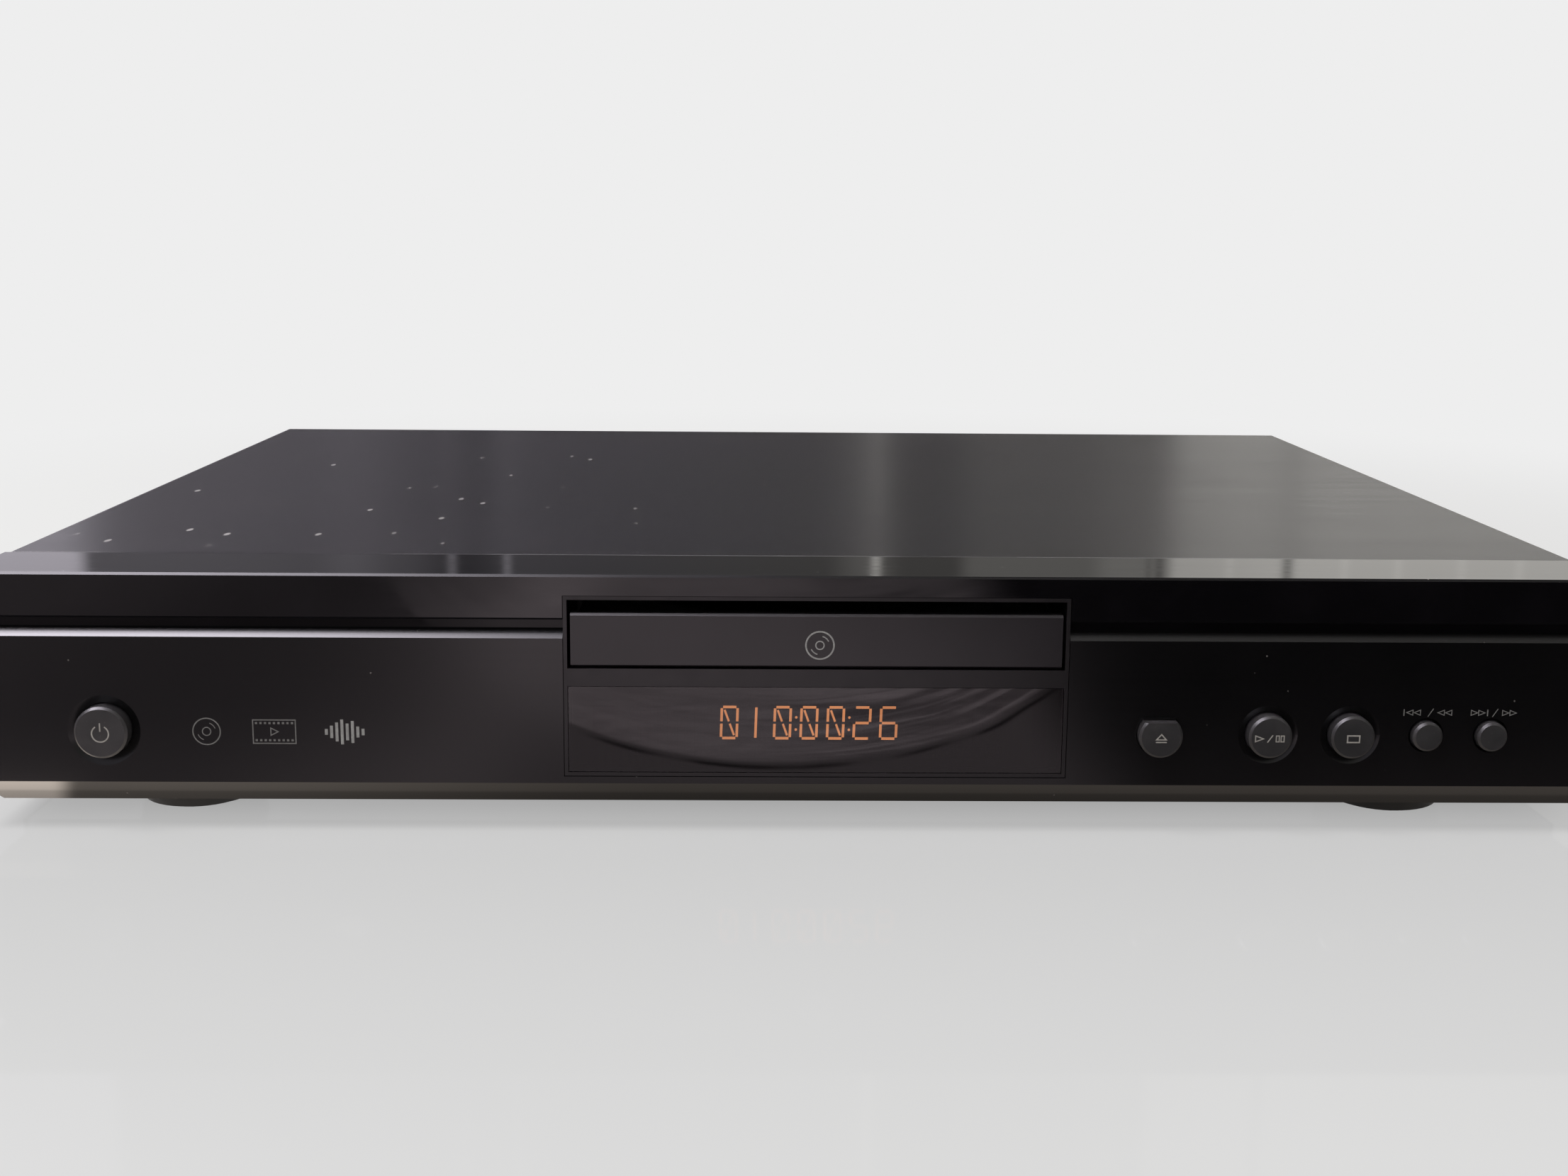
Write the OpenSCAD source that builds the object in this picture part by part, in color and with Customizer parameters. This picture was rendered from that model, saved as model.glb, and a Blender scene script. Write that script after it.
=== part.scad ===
// Disc player with a motorised tray, in millimetres.
// The pieces are drawn with x to the right, y running back from the front face and z up from
// the surface under the feet. in_frame() then centres the bounding box over the origin.

/* [Cabinet] */
// Width of the cabinet
body_w = 435; // [428:1:450]
// Depth from the front face to the rear edge of the top cover
body_d = 305; // [300:1:330]
// Height of the cabinet above its feet
body_h = 63; // [62:0.5:74]
// Thickness of the steel sheets
sheet_t = 1; // [0.8:0.1:1.2]
// Outer bend radius of the top cover
bend_r = 2; // [1.5:0.5:3]
// Height of the base plate's side flanges
flange_h = 18; // [14:1:24]
// Height of the base plate's rear flange
rear_flange_h = 12; // [11:1:14]
// Width of a vent slot
vent_w = 3; // [2:0.5:3.5]
// Length of a vent slot
vent_l = 40; // [25:1:50]

/* [Feet] */
// Height of the feet with their pads
foot_h = 7; // [5:0.5:12]
// Radius of a foot at the base plate
foot_r = 17.5; // [14:0.5:20]
// Thickness of a foot's pad
pad_t = 1.2; // [1:0.1:2]
// Distance of the feet's axes from the ends of the cabinet
foot_in = 49.5; // [45:0.5:75]
// Distance of the front feet's axes from the front face
foot_front_y = 32; // [32:1:45]
// Distance of the rear feet's axes from the rear edge
foot_rear_y = 36; // [30:1:60]

/* [Front panel] */
// Depth of the front mouldings
front_d = 26.5; // [24:0.5:27]
// Thickness of the front faces
face_t = 3; // [2.5:0.1:3.2]
// Thickness of the mouldings' other walls
wall = 2.5; // [2:0.1:3]
// Height of the upper band
band_h = 12.1; // [11:0.1:13]
// Height of the groove under the band
groove_h = 3.05; // [2:0.05:4]
// Height of the bevel along the lower panel's upper edge
lip_h = 1.9; // [1:0.1:2.4]
// Height of the bevel along the lower panel's bottom edge
skirt_h = 6.4; // [5:0.1:7]
// How far that bottom bevel goes in
skirt_d = 5; // [3:0.1:6]
// Bevel of the band's edges
edge = 0.6; // [0.3:0.1:1]

/* [Tray opening and display] */
// Distance of the tray's middle to the right of the cabinet's middle
tray_x = 5; // [0:0.5:8]
// Gap between the tray and each end of its opening
tray_gap = 1.7; // [1.5:0.1:3]
// Height of the tray opening
opening_h = 18.5; // [18:0.1:19]
// Distance from the top of the cabinet down to the tray opening
opening_drop = 6.7; // [6.4:0.1:7]
// Width of the rim round the opening and the window
rim_w = 1; // [0.8:0.1:1.5]
// Height of the sill between the opening and the window
sill_h = 4.8; // [4:0.1:5.5]
// Height of the display window
window_h = 23.6; // [22:0.1:24]
// Thickness of the display window
window_t = 2; // [1.5:0.1:2.4]
// Gap at each end of the tray's door
door_gap = 0.85; // [0.5:0.05:1.2]
// Gap above the tray's door
door_top_gap = 3.65; // [3:0.05:4]
// Gap under the tray's door
door_low_gap = 0.35; // [0.3:0.05:0.5]
// Thickness of the tray's door
door_t = 3; // [2.5:0.1:4]

/* [Buttons] */
// Distance from the top of the cabinet down to the buttons' axes
button_drop = 42.45; // [41:0.05:43.5]
// How far the button caps stand out
button_proud = 2.8; // [2:0.1:3.5]
// Travel of a button
button_travel = 0.7; // [0.4:0.1:1]
// Gap between a cap and its hole
button_gap = 0.3; // [0.2:0.05:0.4]
// Radius of the standby button
standby_r = 7; // [6:0.1:7.5]
// Radius of the play, stop and eject buttons
play_r = 5.8; // [5:0.1:6.2]
// Radius of the two skip buttons
skip_r = 4; // [3.5:0.1:4.5]
// Distance from the left end to the standby button's axis
standby_in = 34.7; // [30:0.1:45]
// Distance from the bezel's right edge to the eject button's axis
eject_in = 24.7; // [20:0.1:28]
// Spacing of the eject and play buttons
eject_pitch = 29.1; // [26:0.1:31]
// Spacing of the play and stop buttons
play_pitch = 22; // [21:0.1:24]
// Spacing of the stop button and the back button
stop_pitch = 20.3; // [19:0.1:22]
// Spacing of the two skip buttons
skip_pitch = 17.3; // [16:0.1:19]

/* [Disc tray] */
// Radius of the disc recess
well_r = 60.6; // [60.4:0.1:61]
// Width of the tray
tray_w = 128; // [127.4:0.2:128.6]
// Length of the tray behind its door
tray_l = 186; // [182:1:190]
// Distance from the front face to the disc's axis
disc_y = 68.5; // [66:0.5:70]
// Depth of the disc recess
well_depth = 4.6; // [4.4:0.1:5]
// Thickness of the tray's floor
tray_floor_t = 1.6; // [1.4:0.1:2]
// Gap between the opening's upper edge and the tray's rim
tray_drop = 6.1; // [5.8:0.1:6.3]
// Half width of the slot that runs back from the disc's axis
slot_r = 18; // [17.5:0.1:19]
// Travel of the tray
tray_travel = 134; // [125:1:136]
// Height of the rack under the tray
rack_h = 4.8; // [4.4:0.1:5]

/* [Loading drive] */
// Module of the tray's rack and gears
gear_m = 0.8; // [0.8:0.05:0.8]
// Teeth of the gear that drives the rack
tray_teeth = 22; // [22:2:22]
// Teeth of the pinion on the belt wheel
pinion_teeth = 17; // [17:2:17]
// Radius of the belt wheel
wheel_r = 9; // [8:0.5:9]
// Radius of the motor's pulley
pulley_r = 3; // [2.5:0.1:3.5]
// Distance between the axes of the belt wheel and the motor
belt_l = 24; // [22:0.5:30]
// Radius of the gears' posts
post_r = 1.5; // [1.3:0.1:1.8]

/* [Drive deck] */
// Length of the deck from its front edge to its hinge
deck_l = 104; // [102:0.5:106]
// Half width of the deck
deck_x = 46; // [45:0.5:48]
// Thickness of the deck's plate
deck_t = 2; // [1.5:0.1:2.5]
// Angle through which the deck lowers
deck_drop = 4; // [3:0.25:4.5]
// Travel of the cam slider
cam_travel = 20; // [18:0.5:24]
// Radius of the spindle motor
spindle_r = 12; // [11:0.1:12.5]
// Radius of the turntable
turntable_r = 13; // [12:0.1:14]
// Radius of the hub that centres the disc
hub_r = 7.45; // [7.4:0.01:7.48]
// Radius of the clamper
clamper_r = 15; // [14:0.1:16]
// Radius of the guide rods
rod_r = 1.5; // [1.2:0.1:1.8]
// Half distance between the guide rods
rod_x = 24; // [23.5:0.1:24.5]
// Smallest distance of the lens from the disc's axis
lens_in = 23; // [22.5:0.1:24]
// Travel of the pickup
pickup_travel = 34; // [32:0.5:35]
// Travel of the lens to each side of its middle
focus_travel = 0.4; // [0.2:0.1:0.5]
// Module of the pickup's rack and gear
feed_m = 0.6; // [0.6:0.05:0.6]
// Teeth of the feed gear
feed_teeth = 24; // [24:2:24]

/* [Boards and rear] */
// Height of the boards above the base plate
board_lift = 8; // [6:0.5:10]
// Thickness of the boards
board_t = 1.6; // [1.2:0.1:2]
// Distance from the front face to the front board
front_board_y = 15; // [14.5:0.1:16]
// Radius of a jack's metal barrel
jack_r = 4.15; // [4:0.01:4.3]
// Radius of the hole for a plug's pin
jack_bore_r = 1.65; // [1.6:0.01:1.8]
// How far the jacks stand out of the rear panel
jack_l = 9; // [8:0.5:10]
// Spacing of the jacks across
jack_pitch_x = 15; // [14:0.5:17]
// Spacing of the jacks' two rows
jack_pitch_z = 14; // [13.5:0.5:16]
// Distance from the right end to the middle of the mains inlet
inlet_in = 39.5; // [32:0.5:52]

/* [Hidden] */
$fn = 64;

// Clearances
fit = 0.15;          // between pieces that are fixed side by side
slip = 0.06;         // round a shaft that turns or a rod that slides
run = 0.3;           // under and over pieces that slide past each other
side_run = 0.6;      // at the sides of the tray
eps = 0.01;          // overshoot of a cut

// Heights of the cabinet, from the surface under the feet
base_z = foot_h;
floor_z = base_z + sheet_t;
top_z = foot_h + body_h;
half_w = body_w / 2;
opening_w = tray_w + 2 * tray_gap;
band_z = top_z - band_h;
panel_z = band_z - groove_h;
skirt_z = base_z + skirt_h;
opening_top = top_z - opening_drop;
opening_low = opening_top - opening_h;
window_top = opening_low - sill_h;
window_low = window_top - window_h;
bezel_top = opening_top + rim_w;
bezel_low = window_low - rim_w;
bezel_x = opening_w / 2 + rim_w;
bezel_y = 0.2;                       // the bezel's face lies this far behind the front face
bezel_t = 3.2;
tunnel_t = 1.2;                      // wall of the tunnel behind the tray opening
tunnel_y = front_d - 1.5;
window_y = bezel_y + 0.15;
ledge = 1;                           // ledge that the window rests on
web_t = 1.5;
groove_back = face_t + fit + web_t;
band_in = half_w - wall - fit;
button_z = top_z - button_drop;
base_y = front_d + 0.5;              // front of the base plate
rear_y = body_d - sheet_t;           // outer face of the rear panel
flange_y = rear_y - sheet_t;         // outer face of the base plate's rear flange
base_x = half_w - sheet_t - fit;

// Places of the buttons, from the left end and from the bezel
standby_x = standby_in - half_w;
eject_x = tray_x + bezel_x + eject_in;
play_x = eject_x + eject_pitch;
stop_x = play_x + play_pitch;
back_x = stop_x + stop_pitch;
forward_x = back_x + skip_pitch;
cap_bevel = 0.6;
cap_flange = 1.2;                    // how far a button's flange is wider than its cap
switch_y = 10.6;                     // front of the switches' plungers
stem_y = switch_y - button_travel - 0.2;
dish_d = 0.9;
eject_flat = 0.66 * play_r;                // height of the flat on the eject button

// Heights inside the tray mechanism
rim_z = opening_top - tray_drop;
well_z = rim_z - well_depth;
tray_z = well_z - tray_floor_t;
tray_edge_z = tray_z - 1.5;
rack_z = tray_z - rack_h;
seat_z = well_z + 2.4;               // disc level on the turntable
disc_t = 1.2;
tray_y = door_t + 0.5;
door_y = 0.5;
rail_x = tray_w / 2 + side_run;
rail_t = 2.5;
loader_y = 29;
loader_l = 171;
loader_z = rack_z - 16.2;            // lower edge of the loader frame
loader_top = rim_z + 3.1;
floor_t = 2;                         // thickness of the loader's two floors
shelf_z = loader_z + 6;              // under side of the loader's front floor
shelf_top = shelf_z + floor_t;
shelf_l = 20.5;
ear = 9;
ear_t = 3;
ear_in = 14;                         // distance of the ears' screws from the frame's ends

// The drive that moves the tray: three axes side by side behind the loader's front edge
pressure = 20;
slack = 0.12;                        // taken off each tooth's thickness
gear_y = loader_y + 10.5;
rack_line = tray_x - tray_w / 2 + 8;
tray_gear_r = gear_m * tray_teeth / 2;
pinion_r = gear_m * pinion_teeth / 2;
tray_gear_x = rack_line + tray_gear_r;
wheel_x = tray_gear_x + tray_gear_r + pinion_r;
motor_x = wheel_x + belt_l;
wheel_z = shelf_top + 0.4;
wheel_h = 2.4;
pinion_z = wheel_z + wheel_h + 0.4;
gear_top = tray_z - 1.8;
pinion_h = 3.4;
belt_t = 1;
belt_h = 1.4;

// The drive deck and what it carries
deck_front = disc_y - 12.5;
hinge_y = deck_front + deck_l;
deck_z = seat_z - 15;                // under side of the deck's plate
hinge_z = deck_z + deck_t / 2;
deck_top = deck_z + deck_t;
hinge_r = 2;
hinge_l = 6;
cam_y = deck_front - 5.4;
cam_t = 1.8;
hook_t = 1.4;
peg_r = 1.5;
peg_gap = 0.4;
peg_drop = (hinge_y - cam_y - cam_t / 2) * sin(deck_drop);
cam_slope = peg_drop / cam_travel;
cam_wing = 14;                       // how far the slider reaches past its slot
cam_spare = 0.8;                     // spare length at each end of the slot
cam_low = hinge_z - peg_drop - peg_r - peg_gap - 2.2;
cam_high = hinge_z + peg_r + peg_gap + 2;
turntable_h = 3.5;
spindle_h = 8;
shaft_r = 1;
clamper_z = seat_z + disc_t + 0.3;
bridge_z = loader_top;
bridge_t = 1.2;
bridge_l = 36;
clamper_hub_r = 10.5;
rod_z = deck_top + 2.5;
rod_front = disc_y + 10;
rod_end = rod_front + 71.5;
bracket_l = 3.5;
lens_y = disc_y + lens_in;
sled_front = lens_y - 8;
sled_back = lens_y + 18;
sled_x = 28;
sled_z = deck_top + 1.2;
sled_top = deck_top + 6.5;
lens_block_x = 13;
lens_block_top = seat_z - 3;
lens_r = 3.5;
feed_r = feed_m * feed_teeth / 2;
feed_line = tray_x - sled_x - 2;
feed_x = feed_line - feed_r;
feed_y = disc_y + 49.5;
feed_h = 2.8;
feed_z = deck_top + 1.2;
grommet_places = [for (s = [-1, 1], y = [deck_front + 7, hinge_y - 12]) [s * (deck_x - 7), y, 0]];

// Boards
board_z = floor_z + board_lift;
board_top = board_z + board_t;
power_w = 92.5;
power_l = 133;
power_in = 11.5;                     // from the right end to the power board
power_back = 22;                     // from the rear edge to the power board
power_x = [half_w - power_in - power_w, half_w - power_in];
power_y = [body_d - power_back - power_l, body_d - power_back];
main_l = 81;
main_in = 77.5;                      // from the left end to the main board
main_back = 12;
board_gap = 3.5;                     // between the two boards
main_x = [main_in - half_w, power_x[0] - board_gap];
main_y = [body_d - main_back - main_l, body_d - main_back];
main_mid = (main_x[0] + main_x[1]) / 2;
coil_x = 34;                         // the transformer, from the power board's left front corner
coil_y = 62;
coil_w = 34;
coil_l = 28;
coil_h = 28;
sink_x = 68;                         // the heat sink, from the same corner
sink_y = 60;
sink_w = 16;
sink_l = 32;
sink_h = 30;
front_board_x = [-half_w + 10.5, half_w - 8.5];
front_board_z = [floor_z + 4.5, opening_low - tunnel_t - 1.4];
boss_z = top_z - 33;
boss_r = 2.8;
boss_x = [-half_w + 14, -half_w + 97, eject_x - 12, (eject_x + play_x) / 2, half_w - 12.5];

tube_x = opening_w / 2 - 15.7;       // half length of the display tube
tube_y = bezel_y + bezel_t + 2.4;
tube_z = button_z + 0.5;
tube_t = 6.5;
tube_h = 18;
tube_pins = 24;
cable_w = 14;
cable_t = 0.4;
cable_x = tray_x - rail_x - rail_t - ear - 11;
cable_z = button_z - 8;

// Rear sockets: columns and rows of the round jacks
jack_x = main_x[0] + 22;
jack_seat = 0.2;                     // how much thicker a barrel is where it is held
collar_l = 1.6;
jack_z = board_top + 9.5;
JACKS = [[0, 0], [0, 1], [1, 0], [1, 1], [2, 0], [2, 1], [3, 1]];
video_r = 5.4;
optical_w = 9.6;
video_x = jack_x + 4.3 * jack_pitch_x;
optical_x = video_x + 22;
socket_z = jack_z + 3;
inlet_x = half_w - inlet_in;
inlet_z = floor_z + 21;
inlet_w = 26;
inlet_h = 17;
inlet_lip = 2;                       // thickness and width of the lip round the inlet
recess_w = 16.4;
recess_h = 8.8;
recess_d = 12;
pin_pitch = 8.6;
pin_r = 1.2;

// Screws
screw_r = 1.4;
head_r = 2.9;
head_h = 1.8;
pilot = 0.05;        // a pilot hole is this much wider than its screw
foot_x = half_w - foot_in;
foot_places = [for (s = [-1, 1], y = [foot_front_y, body_d - foot_rear_y]) [s * foot_x, y, 0]];
ear_x = rail_x + rail_t + ear / 2;
ear_places = [for (s = [-1, 1], y = [loader_y + ear_in, loader_y + loader_l - ear_in])
    [tray_x + s * ear_x, y, loader_z]];
main_places = [for (x = main_x, y = main_y) [x - sign(x) * 5, y < main_y[1] ? y + 5 : y - 22, 0]];
power_places = [for (x = power_x, y = power_y) [x < power_x[1] ? x + 5 : x - 5,
    y < power_y[1] ? y + 5 : y - 5, 0]];
side_screw_y = [body_d * 0.24, body_d * 0.8];
side_screw_z = base_z + flange_h / 2;
lip_z = top_z - 9;
lip_screw_x = [-half_w + 20, 0, half_w - 20];
lip_screw_z = top_z - 5.5;
rear_screw_x = [-half_w + 25, video_x - 4, half_w - 100, half_w - 14];
rear_screw_z = base_z + 8;

// A box given by its ranges along x, y and z
module block(x, y, z) {
    translate([x[0], y[0], z[0]])
        cube([x[1] - x[0], y[1] - y[0], z[1] - z[0]]);
}

// A round bar from the origin back along y
module bar_y(r, l) {
    rotate([-90, 0, 0])
        cylinder(r = r, h = l);
}

// A round bar from the origin to the right along x
module bar_x(r, l) {
    rotate([0, 90, 0])
        cylinder(r = r, h = l);
}

// Cutter for a bevel of the given size along an edge that runs along x
module bevel_x(l, size) {
    rotate([45, 0, 0])
        cube([l, size * sqrt(2), size * sqrt(2)], center = true);
}

// A copy of the children at each place
module at(places) {
    for (p = places)
        translate(p)
            children();
}

// A pan-head screw with its head above z = 0 and its shank below
module screw(l, r = screw_r, head = head_r) {
    difference() {
        cylinder(r = head, h = head_h, $fn = 32);
        for (turn = [0, 90])
            rotate([0, 0, turn])
                block([-head * 0.6, head * 0.6], [-0.4, 0.4], [head_h - 0.8, head_h + eps]);
    }
    translate([0, 0, -l])
        cylinder(r = r, h = l, $fn = 32);
}

// Involute teeth: half the angle of a tooth at radius r
function involute(a) = tan(a) - a * PI / 180;
function tooth_angle(teeth, m, r) =
    (PI / 2 / teeth - slack / (m * teeth) + involute(pressure)
        - involute(acos(min(1, m * teeth / 2 * cos(pressure) / r)))) * 180 / PI;
function tooth_radii(teeth, m) =
    let (base = m * teeth / 2 * cos(pressure), root = m * (teeth / 2 - 1.25), tip = m * (teeth / 2 + 1),
         start = max(base, root))
    [for (i = [0:4]) start + (tip - start) * i / 4];
function polar(r, a) = [r * cos(a), r * sin(a)];
function gear_outline(teeth, m) =
    let (radii = tooth_radii(teeth, m),
         root = m * (teeth / 2 - 1.25),
         foot = tooth_angle(teeth, m, radii[0]))
    [for (i = [0:teeth - 1]) let (mid = i * 360 / teeth) each [
        polar(root, mid - foot),
        each [for (r = radii) polar(r, mid - tooth_angle(teeth, m, r))],
        each [for (j = [4:-1:0]) polar(radii[j], mid + tooth_angle(teeth, m, radii[j]))],
        polar(root, mid + foot)]];

module gear(teeth, m, h) {
    linear_extrude(height = h)
        polygon(gear_outline(teeth, m));
}

// A rack along y whose teeth point to +x and whose pitch line is at x = 0.
// A gap between two teeth lies at y = 0, and the rack covers the range given.
function rack_outline(m, range, back) =
    let (pitch = PI * m, first = ceil(range[0] / pitch), last = floor(range[1] / pitch) - 1,
         half = pitch / 4 - slack / 2, lean = tan(pressure))
    [[-back, range[0]], [-back, range[1]], [-1.25 * m, range[1]],
     each [for (i = [last:-1:first]) let (mid = (i + 0.5) * pitch) each [
        [-1.25 * m, mid + half + 1.25 * m * lean], [m, mid + half - m * lean],
        [m, mid - half + m * lean], [-1.25 * m, mid - half - 1.25 * m * lean]]],
     [-1.25 * m, range[0]]];

module rack(m, range, back, h) {
    linear_extrude(height = h)
        polygon(rack_outline(m, range, back));
}

// A slot with round ends, upright in y, running between two places in x and z
module slot_xz(p, q, r, l) {
    step = q - p;
    for (c = [p, q])
        translate([c[0], 0, c[1]])
            bar_y(r, l);
    translate([p[0], 0, p[1]])
        rotate([0, -atan2(step[1], step[0]), 0])
            block([0, norm(step)], [0, l], [-r, r]);
}

// ---- Cabinet ----

module chassis_base() {
    color("darkgray")
        difference() {
            union() {
                block([-base_x, base_x], [base_y, flange_y], [base_z, floor_z]);
                for (s = [-1, 1])
                    translate([s * (base_x - sheet_t / 2) - sheet_t / 2, 0, 0])
                        block([0, sheet_t], [base_y, flange_y], [base_z, base_z + flange_h]);
                block([-base_x, base_x], [flange_y - sheet_t, flange_y], [base_z, base_z + rear_flange_h]);
                block([-base_x, base_x], [base_y, base_y + sheet_t], [base_z, opening_low - 3]);
                at(ear_places)
                    translate([0, 0, floor_z - loader_z])
                        cylinder(r = 3.6, h = loader_z - floor_z);
                at(concat(main_places, power_places))
                    translate([0, 0, base_z])
                        cylinder(r = 3, h = board_lift + sheet_t);
            }
            at(foot_places)
                translate([0, 0, base_z - eps])
                    cylinder(r = screw_r + pilot, h = sheet_t + 2 * eps);
            at(ear_places)
                translate([0, 0, -8])
                    cylinder(r = screw_r + pilot, h = 8 + eps);
            at(concat(main_places, power_places))
                translate([0, 0, board_z - 6])
                    cylinder(r = screw_r + pilot, h = 6 + eps);
            for (s = [-1, 1], y = side_screw_y)
                translate([s * base_x - 2 * sheet_t, y, side_screw_z])
                    bar_x(screw_r + pilot, 4 * sheet_t);
            for (x = rear_screw_x)
                translate([x, flange_y - 2 * sheet_t, rear_screw_z])
                    bar_y(screw_r + pilot, 3 * sheet_t);
            for (i = [0:7], s = [-1, 1])
                translate([s * 120, base_y + 50 + i * 2.5 * vent_w, base_z - eps])
                    block([-vent_l / 2, vent_l / 2], [0, vent_w], [0, sheet_t + 2 * eps]);
            for (i = [0:5])
                translate([tray_x, main_y[0] + 25 + i * 2.5 * vent_w, base_z - eps])
                    block([-vent_l / 2, vent_l / 2], [0, vent_w], [0, sheet_t + 2 * eps]);
            block([cable_x - cable_w / 2 - 2, cable_x + cable_w / 2 + 2],
                [base_y - eps, base_y + 2 * sheet_t], [cable_z - 3, cable_z + 3]);
        }
}

module rear_panel() {
    color("#1c1c1e")
        difference() {
            block([-base_x, base_x], [flange_y, rear_y], [floor_z, top_z - sheet_t - fit]);
            for (j = JACKS)
                translate([jack_x + j[0] * jack_pitch_x, flange_y - eps, jack_z + j[1] * jack_pitch_z])
                    bar_y(jack_r + 1, sheet_t + 2 * eps);
            translate([video_x, flange_y - eps, socket_z])
                bar_y(video_r + fit, sheet_t + 2 * eps);
            translate([optical_x, 0, socket_z])
                block([-optical_w / 2 - fit, optical_w / 2 + fit], [flange_y - eps, rear_y + eps],
                    [-optical_w / 2 - fit, optical_w / 2 + fit]);
            translate([inlet_x, 0, inlet_z])
                block([inlet_lip - inlet_w / 2 - fit, inlet_w / 2 - inlet_lip + fit],
                    [flange_y - eps, rear_y + eps],
                    [inlet_lip - inlet_h / 2 - fit, inlet_h / 2 - inlet_lip + fit]);
            for (x = rear_screw_x)
                translate([x, flange_y - eps, rear_screw_z])
                    bar_y(screw_r + pilot, sheet_t + 2 * eps);
            for (x = lip_screw_x)
                translate([x, flange_y - eps, lip_screw_z])
                    bar_y(screw_r + pilot, sheet_t + 2 * eps);
            for (i = [0:15])
                translate([half_w - 185 + i * 2.2 * vent_w, 0, 0])
                    block([0, vent_w], [flange_y - eps, rear_y + eps], [floor_z + 26, floor_z + 46]);
        }
}

// The cover's section: a sheet bent down at both sides
module cover_section(r, t) {
    translate([-half_w + t, base_z])
        square([body_w - 2 * t, body_h - t - r]);
    translate([-half_w + t + r, top_z - t - r - eps])
        square([body_w - 2 * (t + r), r + eps]);
    for (s = [-1, 1])
        translate([s * (half_w - t - r), top_z - t - r])
            circle(r = r);
}

module top_cover() {
    color("#2b2a2c")
        difference() {
            union() {
                translate([0, body_d, 0])
                    rotate([90, 0, 0])
                        linear_extrude(height = body_d - front_d - fit)
                            difference() {
                                cover_section(bend_r, 0);
                                cover_section(bend_r - sheet_t + 0.1, sheet_t);
                                translate([-half_w + sheet_t, base_z - 1])
                                    square([body_w - 2 * sheet_t, 2]);
                            }
                block([-base_x, base_x], [rear_y, body_d], [lip_z, top_z - sheet_t / 2]);
            }
            for (x = lip_screw_x)
                translate([x, rear_y - eps, lip_screw_z])
                    bar_y(screw_r + pilot, sheet_t + 2 * eps);
            for (s = [-1, 1], y = side_screw_y)
                translate([s * half_w, y, side_screw_z])
                    rotate([0, -90 * s, 0]) {
                        translate([0, 0, -eps])
                            cylinder(r1 = head_r + eps, r2 = screw_r + pilot, h = sheet_t + 2 * eps);
                    }
        }
}

// ---- Front panel ----

// Outline of the lower panel in y and z, and in x and z
module panel_profile() {
    polygon([[0, skirt_z], [0, panel_z - lip_h], [lip_h, panel_z], [front_d, panel_z],
        [front_d, base_z], [skirt_d, base_z]]);
}

module panel_front() {
    polygon([[-half_w, skirt_z], [-half_w, panel_z], [half_w, panel_z], [half_w, skirt_z],
        [half_w - skirt_d, base_z], [skirt_d - half_w, base_z]]);
}

module panel_solid() {
    intersection() {
        translate([-half_w, 0, 0])
            rotate([90, 0, 90])
                linear_extrude(height = body_w)
                    panel_profile();
        translate([0, front_d, 0])
            rotate([90, 0, 0])
                linear_extrude(height = front_d)
                    panel_front();
    }
}

// Cut for the bezel, through the front faces
module bezel_cut() {
    translate([tray_x, 0, 0])
        block([-bezel_x - fit, bezel_x + fit], [-eps, face_t + 4], [bezel_low - fit, bezel_top + fit]);
}

// Hole and dish of a round button
module button_hole(r, dish) {
    translate([0, -eps, 0])
        bar_y(r + button_gap, face_t + 1);
    if (dish > 0)
        translate([0, -eps, 0])
            rotate([-90, 0, 0])
                cylinder(r1 = r + dish, r2 = r + button_gap, h = dish_d);
}

module lower_panel() {
    color("#1b1a1d")
        difference() {
            union() {
                difference() {
                    panel_solid();
                    block([-half_w + wall, half_w - wall], [face_t, front_d + eps],
                        [skirt_z, panel_z + eps]);
                    block([-half_w + skirt_d + wall, half_w - skirt_d - wall],
                        [skirt_d + wall, front_d + eps], [base_z + wall, panel_z + eps]);
                }
                at([for (x = boss_x) [x, face_t - eps, boss_z]])
                    bar_y(boss_r, front_board_y - face_t + eps);
            }
            bezel_cut();
            translate([tray_x, 0, 0])
                block([-bezel_x - fit, bezel_x + fit], [-eps, front_d + 1],
                    [opening_low - tunnel_t - fit, top_z]);
            at([for (x = boss_x) [x, front_board_y - 7, boss_z]])
                bar_y(screw_r + pilot, 7 + eps);
            translate([standby_x, 0, button_z])
                button_hole(standby_r, 2.6);
            for (x = [play_x, stop_x])
                translate([x, 0, button_z])
                    button_hole(play_r, 2.2);
            for (x = [back_x, forward_x])
                translate([x, 0, button_z])
                    button_hole(skip_r, 0.7);
            translate([eject_x, 0, button_z])
                intersection() {
                    button_hole(play_r, 0);
                    block([-play_r - 1, play_r + 1], [-1, face_t + 2],
                        [-play_r - 1, eject_flat + button_gap]);
                }
        }
}

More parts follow.
